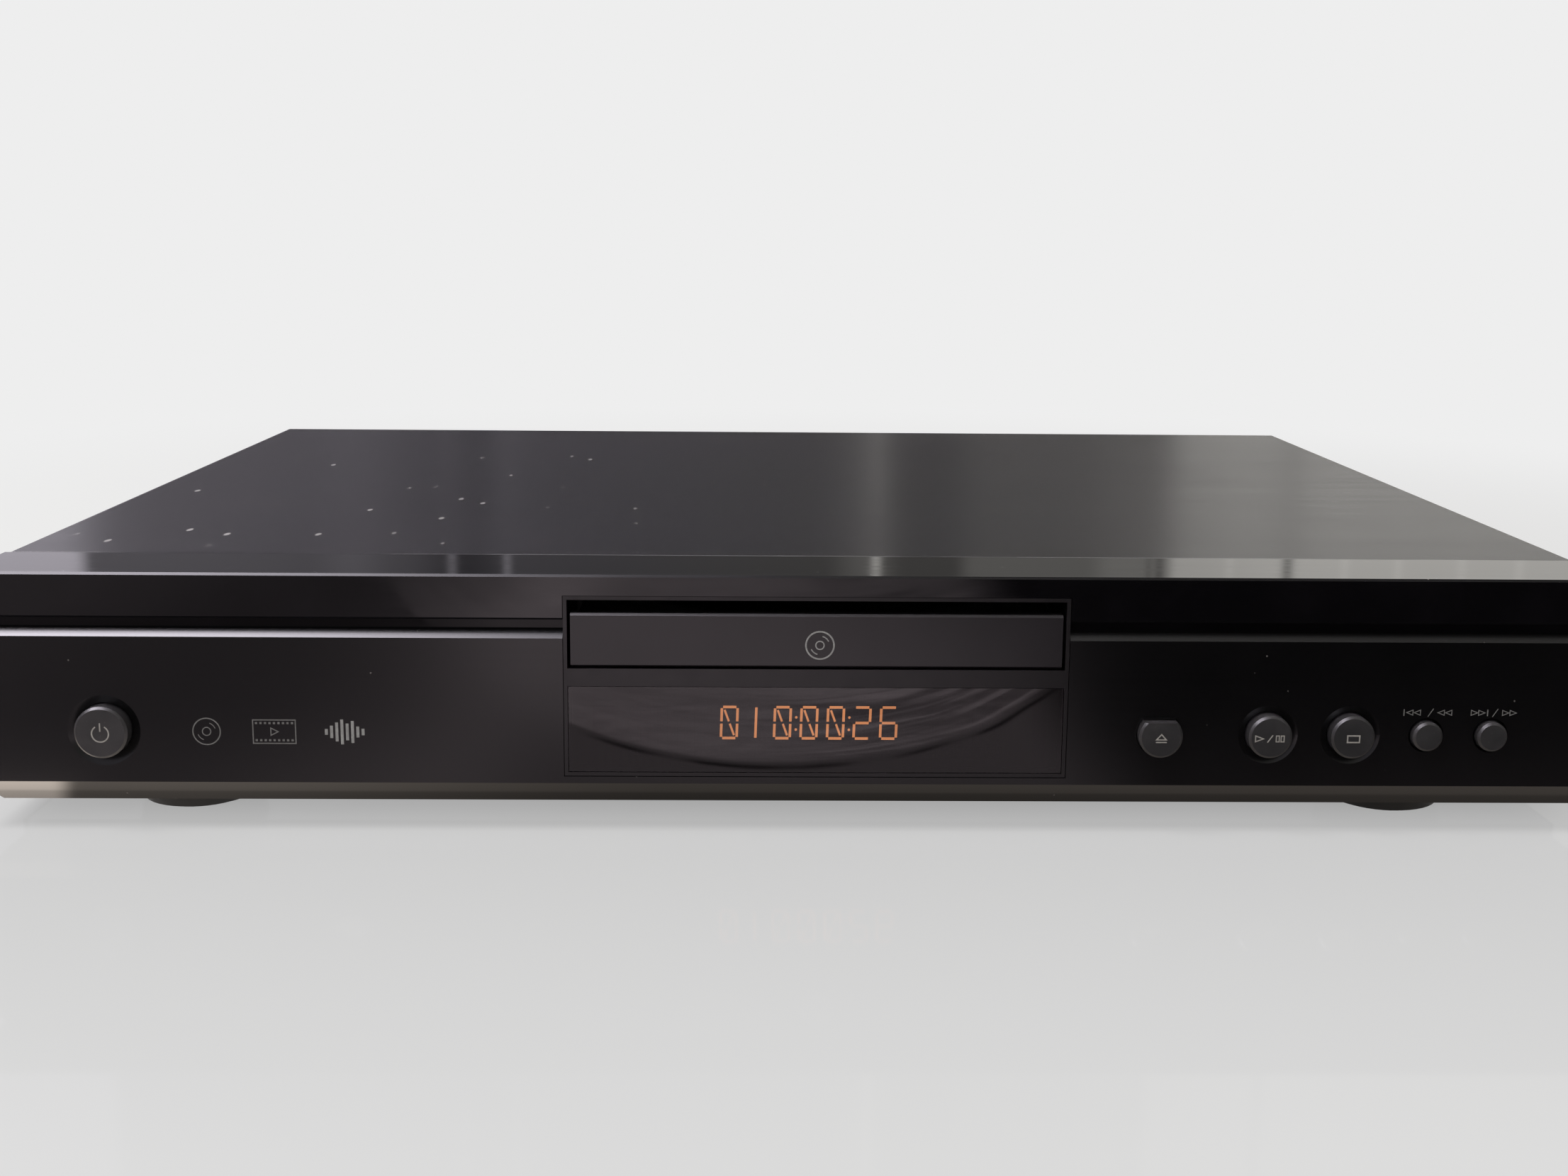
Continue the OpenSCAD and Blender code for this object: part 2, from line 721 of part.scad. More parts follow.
module front_band() {
    color("#161517")
        difference() {
            union() {
                difference() {
                    block([-half_w, half_w], [0, front_d], [band_z, top_z]);
                    block([-band_in - fit, band_in + fit], [face_t, front_d + eps],
                        [band_z - eps, top_z - wall]);
                    translate([0, 0, top_z])
                        bevel_x(body_w + 2, edge);
                    translate([0, 0, band_z])
                        bevel_x(body_w + 2, edge);
                }
                // web that carries the groove's back wall, at the front and along both ends
                block([-half_w + 1, half_w - 1], [face_t - eps, groove_back], [band_z, band_z + web_t]);
                block([-band_in, band_in], [face_t + fit, groove_back], [panel_z - web_t, band_z + eps]);
                for (s = [-1, 1])
                    scale([s, 1, 1]) {
                        block([band_in - web_t, band_in], [face_t + fit, front_d],
                            [panel_z - web_t, band_z + web_t]);
                        block([band_in - web_t, half_w - 1], [face_t - eps, front_d],
                            [band_z, band_z + web_t]);
                    }
            }
            bezel_cut();
            translate([tray_x, 0, 0])
                block([-bezel_x - fit, bezel_x + fit], [face_t, front_d + 1],
                    [panel_z - 2, bezel_top + fit]);
        }
}

module centre_bezel() {
    color("#171619")
        translate([tray_x, 0, 0])
            difference() {
                union() {
                    block([-bezel_x, bezel_x], [bezel_y, bezel_y + bezel_t], [bezel_low, bezel_top]);
                    block([-opening_w / 2 - rim_w, opening_w / 2 + rim_w], [bezel_y, tunnel_y],
                        [opening_low - tunnel_t, opening_top + rim_w]);
                }
                block([-opening_w / 2, opening_w / 2], [-eps, front_d + 1], [opening_low, opening_top]);
                block([-opening_w / 2, opening_w / 2], [-eps, window_y + window_t + fit],
                    [window_low, window_top]);
                block([-opening_w / 2 + ledge, opening_w / 2 - ledge], [-eps, bezel_y + bezel_t + 1],
                    [window_low + ledge, window_top - ledge]);
            }
}

module display_window() {
    color("#26202a")
        translate([tray_x, 0, 0])
            block([-opening_w / 2 + fit, opening_w / 2 - fit], [window_y, window_y + window_t],
                [window_low + fit, window_top - fit]);
}

// A push button: bevelled cap, flange behind the panel and stem to its switch
module button(r, proud) {
    rotate([-90, 0, 0]) {
        translate([0, 0, -proud])
            cylinder(r1 = r - cap_bevel, r2 = r, h = cap_bevel);
        translate([0, 0, cap_bevel - proud])
            cylinder(r = r, h = face_t + 0.1 + proud - cap_bevel);
        translate([0, 0, face_t + 0.1])
            cylinder(r = r + cap_flange, h = 1);
        translate([0, 0, face_t + 0.1])
            cylinder(r = 1.6, h = stem_y - face_t - 0.1);
    }
}

module standby_button() {
    color("#3c3c3d")
        translate([standby_x, 0, button_z])
            button(standby_r, button_proud);
}

module eject_button() {
    color("#2c2729")
        translate([eject_x, 0, button_z]) {
            intersection() {
                button(play_r, button_proud);
                block([-play_r - 2, play_r + 2], [-button_proud - 1, stem_y + 1],
                    [-play_r - 2, eject_flat]);
            }
        }
}

module play_button() {
    color("#2f2a29")
        translate([play_x, 0, button_z])
            button(play_r, button_proud);
}

module stop_button() {
    color("#2f2a29")
        translate([stop_x, 0, button_z])
            button(play_r, button_proud);
}

module back_button() {
    color("#2f2a29")
        translate([back_x, 0, button_z])
            button(skip_r, button_proud * 0.7);
}

module forward_button() {
    color("#2f2a29")
        translate([forward_x, 0, button_z])
            button(skip_r, button_proud * 0.7);
}

// ---- Feet and screws ----

module feet() {
    color("#1d1d1f")
        at(foot_places)
            difference() {
                translate([0, 0, pad_t - 0.4])
                    cylinder(r1 = foot_r - 1.5, r2 = foot_r, h = foot_h - pad_t + 0.4);
                translate([0, 0, pad_t - 0.4 - eps])
                    cylinder(r = foot_r - 3.5, h = 0.4 + eps);
                translate([0, 0, -eps])
                    cylinder(r = 4, h = foot_h - 2 + eps);
                cylinder(r = screw_r + pilot, h = foot_h + 1);
            }
}

module foot_pads() {
    color("#3a3a3c")
        at(foot_places)
            difference() {
                cylinder(r = foot_r - 3.5 - fit, h = pad_t);
                translate([0, 0, -eps])
                    cylinder(r = 4.6, h = pad_t + 2 * eps);
            }
}

module foot_screws() {
    color("silver")
        at(foot_places)
            translate([0, 0, foot_h - 2])
                mirror([0, 0, 1])
                    screw(2 + sheet_t + 1);
}

module cover_screws() {
    color("#3b3b3d") {
        for (x = lip_screw_x)
            translate([x, body_d, lip_screw_z])
                rotate([-90, 0, 0])
                    screw(2 * sheet_t + 2);
        for (s = [-1, 1], y = side_screw_y)
            translate([s * half_w, y, side_screw_z])
                rotate([0, 90 * s, 0])
                    difference() {
                        translate([0, 0, -sheet_t])
                            union() {
                                cylinder(r1 = screw_r, r2 = head_r - pilot, h = sheet_t);
                                translate([0, 0, -2 * sheet_t - 1])
                                    cylinder(r = screw_r, h = 2 * sheet_t + 1);
                            }
                        for (turn = [0, 90])
                            rotate([0, 0, turn])
                                block([-1.5, 1.5], [-0.3, 0.3], [-0.5, eps]);
                    }
    }
}

module rear_screws() {
    color("#3b3b3d")
        for (x = rear_screw_x)
            translate([x, rear_y, rear_screw_z])
                rotate([-90, 0, 0])
                    screw(2 * sheet_t + 1);
}

// ---- Sockets on the rear panel ----

module inlet_shape(w, h) {
    square([w - h, h], center = true);
    for (s = [-1, 1])
        translate([s * (w - h) / 2, 0])
            circle(r = h / 2);
}

module mains_inlet() {
    color("#1a1a1b")
        translate([inlet_x, 0, inlet_z])
            difference() {
                union() {
                    block([-inlet_w / 2, inlet_w / 2], [rear_y, rear_y + inlet_lip],
                        [-inlet_h / 2, inlet_h / 2]);
                    block([inlet_lip - inlet_w / 2, inlet_w / 2 - inlet_lip], [rear_y - 14, rear_y],
                        [inlet_lip - inlet_h / 2, inlet_h / 2 - inlet_lip]);
                }
                translate([0, rear_y + inlet_lip + eps, 0])
                    rotate([90, 0, 0])
                        linear_extrude(height = recess_d + eps)
                            inlet_shape(recess_w, recess_h);
                for (s = [-1, 1])
                    translate([s * pin_pitch / 2, rear_y - 15, 0])
                        bar_y(pin_r, 6);
            }
}

module inlet_pins() {
    color("gold")
        for (s = [-1, 1])
            translate([inlet_x + s * pin_pitch / 2, rear_y - 18, inlet_z])
                bar_y(pin_r, 17);
}

// A copy of the children at each round jack
module at_jacks(y) {
    for (j = JACKS)
        translate([jack_x + j[0] * jack_pitch_x, y, jack_z + j[1] * jack_pitch_z])
            children();
}

module jack_housings() {
    color("#202022")
        difference() {
            union() {
                for (col = [0:3])
                    translate([jack_x + col * jack_pitch_x, 0, 0])
                        block([-6, 6], [flange_y - 14, flange_y - sheet_t],
                            [board_top, jack_z + jack_pitch_z + 6]);
                at_jacks(flange_y - sheet_t - eps)
                    bar_y(jack_r + 0.8, 2 * sheet_t + eps);
            }
            at_jacks(flange_y - 10)
                bar_y(jack_r + jack_seat, 15);
        }
}

module jack_barrels() {
    color("silver")
        at_jacks(flange_y - 10)
            difference() {
                union() {
                    bar_y(jack_r, 10 + sheet_t + jack_l);
                    bar_y(jack_r + jack_seat, 10 + sheet_t + collar_l);
                }
                translate([0, -eps, 0])
                    bar_y(jack_r - 0.6, 12 + sheet_t + jack_l);
            }
}

// Coloured insulators: a core inside each barrel and a collar round its root
module jack_inserts() {
    color("firebrick")
        at_jacks(0) {
            translate([0, flange_y - 10, 0])
                difference() {
                    bar_y(jack_r - 0.6, 8 + sheet_t + jack_l);
                    translate([0, 2, 0])
                        bar_y(jack_bore_r, 8 + sheet_t + jack_l);
                }
            translate([0, rear_y, 0])
                difference() {
                    bar_y(jack_r + 1.8, collar_l);
                    translate([0, -eps, 0])
                        bar_y(jack_r + jack_seat, collar_l + 1);
                }
        }
}

module video_socket() {
    color("#1d1d1f")
        translate([video_x, 0, 0])
            difference() {
                union() {
                    translate([0, flange_y - 12, socket_z])
                        bar_y(video_r, 12 + sheet_t + 1.2);
                    block([-7, 7], [flange_y - 13, flange_y - sheet_t - fit], [board_top, socket_z + 7]);
                }
                translate([0, rear_y - 4, socket_z])
                    difference() {
                        bar_y(video_r - 0.9, 6);
                        bar_y(1.2, 6);
                    }
            }
}

module optical_socket() {
    color("#1d1d1f")
        translate([optical_x, 0, 0])
            difference() {
                union() {
                    block([-optical_w / 2, optical_w / 2], [flange_y - 12, rear_y + 1.5],
                        [socket_z - optical_w / 2, socket_z + optical_w / 2]);
                    block([-3, 3], [flange_y - 12, flange_y - 4], [board_top, socket_z]);
                }
                block([-3, 3], [rear_y - 1, rear_y + 2], [socket_z - 3, socket_z + 3]);
            }
}

// ---- Boards ----

module main_board() {
    color("darkgreen")
        difference() {
            block(main_x, main_y, [board_z, board_top]);
            at(main_places)
                translate([0, 0, board_z - eps])
                    cylinder(r = screw_r + 0.2, h = board_t + 2 * eps);
        }
}

// Chips and connectors: [x, y, width, depth, height] from the middle of the board's front edge
CHIPS = [[-65, 12, 28, 28, 2.4], [-21, 16, 20, 10, 1.6], [-21, 32, 20, 10, 1.6], [15, 14, 22, 16, 2],
    [-88, 18, 12, 9, 1.8], [55, 20, 9, 14, 1.8], [-88, 42, 10, 14, 1.8], [72, 40, 14, 12, 5],
    [-65, 48, 30, 6, 6], [25, 40, 26, 5, 7],
    [cable_x - cable_w / 2 - 2 - main_mid, 3, cable_w + 4, 5, 5.5]];

module main_chips() {
    color("#232326")
        for (c = CHIPS)
            translate([main_mid + c[0], main_y[0] + c[1], board_top])
                cube([c[2], c[3], c[4]]);
}

module power_board() {
    color("peru")
        difference() {
            block(power_x, power_y, [board_z, board_top]);
            at(power_places)
                translate([0, 0, board_z - eps])
                    cylinder(r = screw_r + 0.2, h = board_t + 2 * eps);
        }
}

module transformer() {
    color("goldenrod")
        translate([power_x[0] + coil_x, power_y[0] + coil_y, board_top]) {
            block([-coil_w / 2, coil_w / 2], [-coil_l / 2, coil_l / 2], [0, 4]);
            block([6 - coil_w / 2, coil_w / 2 - 6], [1 - coil_l / 2, coil_l / 2 - 1], [4, coil_h - 4]);
            for (s = [-1, 1])
                translate([s * (coil_w / 2 - 3), 0, 0])
                    block([-3, 3], [5 - coil_l / 2, coil_l / 2 - 5], [4, coil_h]);
            block([-coil_w / 2, coil_w / 2], [5 - coil_l / 2, coil_l / 2 - 5], [coil_h - 4, coil_h]);
        }
}

// Capacitors: [x, y, radius, height] from the power board's left front corner
CANS = [[20, 20, 8, 20], [40, 18, 6.3, 20], [56, 20, 5, 12], [70, 16, 5, 12], [72, 98, 11, 30],
    [16, 100, 5, 16], [30, 104, 4, 11], [60, 44, 5, 16]];

module capacitors() {
    color("#2a2a4a")
        for (c = CANS)
            translate([power_x[0] + c[0], power_y[0] + c[1], board_top])
                cylinder(r = c[2], h = c[3]);
}

module heat_sink() {
    color("silver")
        translate([power_x[0] + sink_x, power_y[0] + sink_y - sink_l / 2, board_top]) {
            block([0, 2], [0, sink_l], [0, sink_h]);
            for (i = [0:6])
                translate([0, i * (sink_l - 2) / 6, 0])
                    block([2 - eps, sink_w], [0, 1.4], [3, sink_h]);
        }
}

module board_screws() {
    color("silver") {
        at(concat(main_places, power_places))
            translate([0, 0, board_top])
                screw(board_t + 5);
        at([for (x = boss_x) [x, front_board_y + board_t, boss_z]])
            rotate([-90, 0, 0])
                screw(board_t + 6);
    }
}

module front_board() {
    color("darkgreen")
        difference() {
            block(front_board_x, [front_board_y, front_board_y + board_t], front_board_z);
            at([for (x = boss_x) [x, front_board_y - eps, boss_z]])
                bar_y(screw_r + 0.2, board_t + 2 * eps);
        }
}

module display_tube() {
    color("#4a5560")
        translate([tray_x, 0, tube_z]) {
            block([-tube_x, tube_x], [tube_y, tube_y + tube_t], [-tube_h / 2, tube_h / 2]);
            for (i = [0:tube_pins - 1])
                translate([4 - tube_x + i * (2 * tube_x - 8) / (tube_pins - 1), 0, 0.4 - tube_h / 2])
                    block([-0.3, 0.3], [tube_y + tube_t - eps, front_board_y], [0, 0.6]);
        }
}

module switches() {
    color("#1f1f20")
        for (x = [standby_x, eject_x, play_x, stop_x, back_x, forward_x])
            translate([x, 0, button_z]) {
                block([-3, 3], [switch_y + 1, front_board_y], [-3, 3]);
                translate([0, switch_y, 0])
                    bar_y(1.7, 2);
            }
}

module remote_receiver() {
    color("#2a1a20")
        translate([tray_x - opening_w / 2 + 8.7, 0, tube_z])
            block([-3, 3], [front_board_y - 6, front_board_y], [-4, 4]);
}

module front_cable() {
    drop_y = base_y + 12;
    rise_y = main_y[0] - 7;
    low = floor_z + 1;
    end_z = board_top + 2;
    color("lightgray")
        translate([cable_x - cable_w / 2, 0, 0]) {
            block([0, cable_w], [front_board_y + board_t + 4, drop_y], [cable_z, cable_z + cable_t]);
            block([0, cable_w], [drop_y - cable_t, drop_y], [low, cable_z + cable_t]);
            block([0, cable_w], [drop_y - cable_t, rise_y], [low, low + cable_t]);
            block([0, cable_w], [rise_y - cable_t, rise_y], [low, end_z + cable_t]);
            block([0, cable_w], [rise_y - cable_t, main_y[0] + 3], [end_z, end_z + cable_t]);
            block([-2, cable_w + 2], [front_board_y + board_t, front_board_y + board_t + 4],
                [cable_z - 2, cable_z + 2.4]);
        }
}

// ---- Loader ----

// One side of the loader frame, drawn for the right side
module loader_side() {
    back = loader_y + loader_l;
    block([rail_x, rail_x + rail_t], [loader_y, back], [loader_z, loader_top]);
    // ledge under the tray and two tabs over it
    block([rail_x - 3, rail_x + eps], [loader_y, back], [tray_edge_z - run - 2, tray_edge_z - run]);
    for (y = [loader_y + 2, loader_y + 92])
        block([rail_x - 2.4, rail_x + eps], [y, y + 12], [rim_z + run, rim_z + run + 1.4]);
    for (y = [loader_y + ear_in, back - ear_in])
        block([rail_x + rail_t - eps, rail_x + rail_t + ear], [y - 5, y + 5], [loader_z, loader_z + ear_t]);
    // bracket of the deck's hinge
    block([deck_x + 1, deck_x + 4.5], [hinge_y - 4, hinge_y + 4],
        [loader_z + floor_t - eps, hinge_z + 4]);
    // hook that the cam slider runs in
    hook_z = cam_low - run - 2;
    hook_y = cam_y - run - hook_t;
    block([6, 12], [hook_y, cam_y - run], [hook_z, deck_z]);
    block([6, 12], [hook_y, cam_y + cam_t + run + hook_t], [hook_z, cam_low - run]);
    block([6, 12], [cam_y + cam_t + run, cam_y + cam_t + run + hook_t], [hook_z, cam_low + 4]);
}

// Posts of the two gears, on the loader frame's front floor
module gear_posts() {
    for (x = [tray_gear_x, wheel_x])
        translate([x, gear_y, shelf_top - eps])
            cylinder(r = post_r, h = pinion_z + pinion_h + 0.8 - shelf_top);
    translate([tray_gear_x, gear_y, shelf_top - eps])
        cylinder(r = post_r + 1.5, h = pinion_z - shelf_top - 0.2);
}

module loader_frame() {
    back = loader_y + loader_l;
    inside = [-rail_x - eps, rail_x + eps];
    color("#242426")
        translate([tray_x, 0, 0])
            difference() {
                union() {
                    for (s = [-1, 1])
                        scale([s, 1, 1])
                            loader_side();
                    block(inside, [loader_y, loader_y + shelf_l], [shelf_z, shelf_top]);
                    block(inside, [hinge_y - 6, back], [loader_z, loader_z + floor_t]);
                    block(inside, [back - rail_t, back], [loader_z, tray_edge_z - 4]);
                    translate([-tray_x, 0, 0])
                        gear_posts();
                }
                translate([motor_x - tray_x, gear_y, shelf_z - eps])
                    cylinder(r = 3.4, h = floor_t + 2 * eps);
                at(ear_places)
                    translate([-tray_x, 0, -eps])
                        cylinder(r = screw_r + fit, h = ear_t + 2 * eps);
                for (s = [-1, 1])
                    translate([s * (deck_x + 2.75) - 4, hinge_y, hinge_z])
                        bar_x(hinge_r + slip, 8);
                // windows in the side walls
                for (s = [-1, 1], i = [0:3])
                    translate([s * (rail_x + 1), loader_y + 26 + i * 28, 0])
                        block([-3, 3], [0, 20], [loader_z + 5, tray_edge_z - 8]);
            }
}

module loader_screws() {
    color("silver")
        at(ear_places)
            translate([0, 0, ear_t])
                screw(ear_t + 7);
}

module loading_motor() {
    color("silver")
        translate([motor_x, gear_y, 0])
            difference() {
                union() {
                    intersection() {
                        translate([0, 0, shelf_z - 15])
                            cylinder(r = 10, h = 15);
                        block([-10, 10], [-7.7, 7.7], [shelf_z - 15, shelf_z]);
                    }
                    translate([0, 0, shelf_z - eps])
                        cylinder(r = 3, h = 1.4);
                }
                translate([0, 0, shelf_z - 14])
                    cylinder(r = shaft_r + slip, h = 20);
            }
}

// Outline of a belt round two wheels on the x axis, t outside the bottoms of their grooves
module belt_outline(t) {
    big = wheel_r - belt_t + t;
    small = pulley_r - belt_t + t;
    lean = acos((big - small) / belt_l);
    turn = 360 - 2 * lean;
    polygon([
        for (i = [0:24]) polar(big, lean + turn * i / 24),
        for (i = [0:12]) [belt_l, 0] + polar(small, -lean + 2 * lean * i / 12)]);
}

module drive_belt() {
    color("#101010")
        translate([wheel_x, gear_y, wheel_z + (wheel_h - belt_h) / 2])
            linear_extrude(height = belt_h)
                difference() {
                    belt_outline(belt_t - 0.1);
                    belt_outline(0.12);
                }
}

module clamp_bridge() {
    color("silver")
        translate([tray_x, disc_y, 0])
            difference() {
                union() {
                    block([-rail_x - rail_t, rail_x + rail_t], [-bridge_l / 2, bridge_l / 2],
                        [bridge_z, bridge_z + bridge_t]);
                    for (s = [-1, 1])
                        translate([0, s * (bridge_l / 2 - 0.6) - 0.6, 0])
                            block([-rail_x, rail_x], [0, 1.2], [bridge_z, bridge_z + 3.4]);
                }
                translate([0, 0, bridge_z - eps])
                    cylinder(r = clamper_hub_r + 0.8, h = bridge_t + 2 * eps);
            }
}

// ---- Tray and its drive ----

module disc_tray() {
    back = tray_y + tray_l;
    color("#1c1c1e")
        difference() {
            union() {
                translate([tray_x, 0, 0])
                    difference() {
                        block([-tray_w / 2, tray_w / 2], [tray_y, back], [tray_edge_z, rim_z]);
                        // hollow under the floor, between the two side walls
                        block([-tray_w / 2 + 2, tray_w / 2 - 2], [tray_y + 2, back + eps],
                            [tray_edge_z - eps, tray_z]);
                        // shallow pan behind the disc recess
                        block([-tray_w / 2 + 6, tray_w / 2 - 6], [disc_y + well_r + 6, back - 4],
                            [well_z, rim_z + eps]);
                    }
                translate([rack_line, gear_y, rack_z])
                    rack(gear_m, [-5.1, tray_travel + 5.1], 3.6 + gear_m, tray_z - rack_z + eps);
            }
            translate([tray_x, disc_y, well_z])
                cylinder(r = well_r, h = well_depth + eps, $fn = 128);
            // smaller step for an 80 mm disc
            translate([tray_x, disc_y, well_z - 0.5])
                cylinder(r = 40.4, h = 1, $fn = 96);
            translate([tray_x, disc_y, tray_z - 3])
                cylinder(r = slot_r, h = 10);
            translate([tray_x, disc_y, 0])
                block([-slot_r, slot_r], [0, back], [tray_z - 3, rim_z + eps]);
            // finger notches at both sides of the recess
            for (s = [-1, 1])
                translate([tray_x + s * well_r, disc_y - 24, well_z])
                    cylinder(r = 9, h = well_depth + eps);
        }
}

module tray_door() {
    low = opening_low + door_low_gap;
    high = opening_top - door_top_gap;
    half = opening_w / 2 - door_gap;
    color("#2b282a")
        translate([tray_x, 0, 0])
            difference() {
                block([-half, half], [door_y, door_y + door_t], [low, high]);
                for (z = [low, high])
                    translate([0, door_y, z])
                        bevel_x(opening_w, edge);
            }
}

module tray_gear() {
    color("ivory")
        translate([tray_gear_x, gear_y, pinion_z])
            difference() {
                gear(tray_teeth, gear_m, gear_top - pinion_z);
                translate([0, 0, -eps])
                    cylinder(r = post_r + slip, h = 20);
            }
}

module belt_wheel() {
    color("ivory")
        translate([wheel_x, gear_y, 0])
            difference() {
                union() {
                    translate([0, 0, pinion_z - 0.5])
                        gear(pinion_teeth, gear_m, pinion_h + 0.5);
                    translate([0, 0, wheel_z])
                        difference() {
                            cylinder(r = wheel_r, h = wheel_h);
                            belt_groove(wheel_r);
                        }
                }
                translate([0, 0, wheel_z - eps])
                    cylinder(r = post_r + slip, h = 20);
            }
}

// Groove for the belt in the rim of a wheel that stands on z = 0
module belt_groove(r) {
    translate([0, 0, (wheel_h - belt_h) / 2 - 0.1])
        difference() {
            cylinder(r = r + 1, h = belt_h + 0.2);
            translate([0, 0, -eps])
                cylinder(r = r - belt_t, h = belt_h + 1);
        }
}

module motor_pulley() {
    color("peru")
        translate([motor_x, gear_y, 0]) {
            translate([0, 0, wheel_z])
                difference() {
                    cylinder(r = pulley_r, h = wheel_h);
                    belt_groove(pulley_r);
                }
            translate([0, 0, shelf_z - 10])
                cylinder(r = shaft_r, h = wheel_z + wheel_h + 1.5 - shelf_z + 10);
        }
}

module cam_slider() {
    color("ivory")
        translate([tray_x, cam_y, 0])
            difference() {
                block([-cam_travel - cam_wing, cam_wing], [0, cam_t], [cam_low, cam_high]);
                translate([0, -eps, 0])
                    slot_xz([cam_spare, hinge_z + cam_spare * cam_slope],
                        [-cam_travel - cam_spare, hinge_z - peg_drop - cam_spare * cam_slope],
                        peg_r + peg_gap, cam_t + 2 * eps);
            }
}

module drive_deck() {
    color("gray")
        translate([tray_x, 0, 0])
            difference() {
                union() {
                    block([-deck_x, deck_x], [deck_front, hinge_y + 3], [deck_z, deck_top]);
                    for (s = [-1, 1])
                        scale([s, 1, 1]) {
                            block([deck_x - 1.5, deck_x], [deck_front, hinge_y - 10],
                                [deck_z - 3, deck_z + eps]);
                            block([deck_x - 4, deck_x], [hinge_y - 3, hinge_y + 3],
                                [hinge_z - 3, hinge_z + 3]);
                            translate([deck_x - eps, hinge_y, hinge_z])
                                bar_x(hinge_r, hinge_l);
                            for (y = [rod_front, rod_end - bracket_l])
                                block([rod_x - 3, rod_x + 3], [y, y + bracket_l],
                                    [deck_top - eps, rod_z + 3]);
                        }
                    translate([0, cam_y - 1, hinge_z])
                        bar_y(peg_r, deck_front - cam_y + 1 + eps);
                    block([-4, 4], [deck_front - 2.5, deck_front + 0.3], [hinge_z - 3, hinge_z + 3]);
                }
                block([-rod_x + 5, rod_x - 5], [disc_y + spindle_r + 4, rod_end - 8],
                    [deck_z - eps, deck_top + eps]);
                translate([0, disc_y, deck_z - eps])
                    cylinder(r = 4, h = deck_t + 2 * eps);
                translate([feed_x - tray_x, feed_y, deck_z - 4])
                    cylinder(r = 3, h = deck_t + 5);
                for (s = [-1, 1], y = [rod_front, rod_end - bracket_l])
                    translate([s * rod_x, y - eps, rod_z])
                        bar_y(rod_r, bracket_l + 2 * eps);
                at(grommet_places)
                    translate([0, 0, deck_z - eps])
                        cylinder(r = 2.6, h = deck_t + 2 * eps);
            }
}

module deck_grommets() {
    color("#1a1a1a")
        at(grommet_places)
            translate([tray_x, 0, 0])
                difference() {
                    union() {
                        translate([0, 0, deck_z - 1.5])
                            cylinder(r = 4, h = 1.5);
                        translate([0, 0, deck_z - eps])
                            cylinder(r = 2.6, h = deck_t + 2 * eps);
                        translate([0, 0, deck_top])
                            cylinder(r = 4, h = 1.5);
                    }
                    translate([0, 0, deck_z - 2])
                        cylinder(r = 1.3, h = deck_t + 4);
                }
}

module spindle_motor() {
    color("silver")
        translate([tray_x, disc_y, 0])
            difference() {
                union() {
                    translate([0, 0, deck_top])
                        cylinder(r = spindle_r, h = spindle_h);
                    translate([0, 0, deck_z - 1.5])
                        cylinder(r = 4, h = deck_t + 1.5 + eps);
                }
                translate([0, 0, deck_z])
                    cylinder(r = shaft_r + slip, h = spindle_h + deck_t + 1);
            }
}

module turntable() {
    color("#2a2a2c")
        translate([tray_x, disc_y, 0]) {
            translate([0, 0, seat_z - turntable_h])
                cylinder(r = turntable_r, h = turntable_h);
            translate([0, 0, seat_z - eps])
                cylinder(r = hub_r, h = 1.1 + eps);
            translate([0, 0, seat_z + 1.1])
                cylinder(r1 = hub_r, r2 = hub_r - 3.4, h = 0.35);
            translate([0, 0, deck_z + 1])
                cylinder(r = shaft_r, h = seat_z - deck_z - 2);
        }
}

module clamper() {
    flange_z = bridge_z + bridge_t + 0.5;
    color("#2a2a2c")
        translate([tray_x, disc_y, 0])
            difference() {
                union() {
                    translate([0, 0, clamper_z])
                        cylinder(r = clamper_r, h = 2.2);
                    translate([0, 0, clamper_z + 1])
                        cylinder(r = clamper_hub_r, h = flange_z - clamper_z);
                    translate([0, 0, flange_z])
                        cylinder(r = clamper_hub_r + 3, h = 1.5);
                }
                translate([0, 0, clamper_z - eps])
                    cylinder(r = hub_r + 1, h = 1.6);
            }
}

module guide_rods() {
    color("lightsteelblue")
        for (s = [-1, 1])
            translate([tray_x + s * rod_x, rod_front - 1, rod_z])
                bar_y(rod_r, rod_end - rod_front + 2);
}

module pickup_sled() {
    color("#55565a")
        difference() {
            union() {
                translate([tray_x, 0, 0]) {
                    block([-sled_x, sled_x], [sled_front, sled_back], [sled_z, sled_top]);
                    block([-lens_block_x, lens_block_x], [sled_front, sled_back - 4],
                        [sled_top - eps, lens_block_top]);
                }
                translate([feed_line, feed_y, sled_z])
                    mirror([1, 0, 0])
                        rack(feed_m, [-pickup_travel - 3, 3], 2 + feed_m, feed_h);
            }
            for (s = [-1, 1])
                translate([tray_x + s * rod_x, sled_front - 1, rod_z])
                    bar_y(rod_r + slip, sled_back - sled_front + 2);
            translate([tray_x, lens_y, 0])
                block([-7.5, 7.5], [-5.5, 5.5], [sled_top - 3, lens_block_top + eps]);
        }
}

module lens_holder() {
    color("#303a60")
        translate([tray_x, lens_y, 0]) {
            block([-6.5, 6.5], [-4.5, 4.5], [sled_top - 2, lens_block_top + 0.2]);
            translate([0, 0, lens_block_top])
                cylinder(r = lens_r, h = 1.2);
        }
}

module feed_gear() {
    color("ivory")
        translate([feed_x, feed_y, feed_z]) {
            gear(feed_teeth, feed_m, feed_h);
            translate([0, 0, deck_z - 8 - feed_z])
                cylinder(r = shaft_r, h = feed_z - deck_z + 8 + feed_h + 0.6);
        }
}

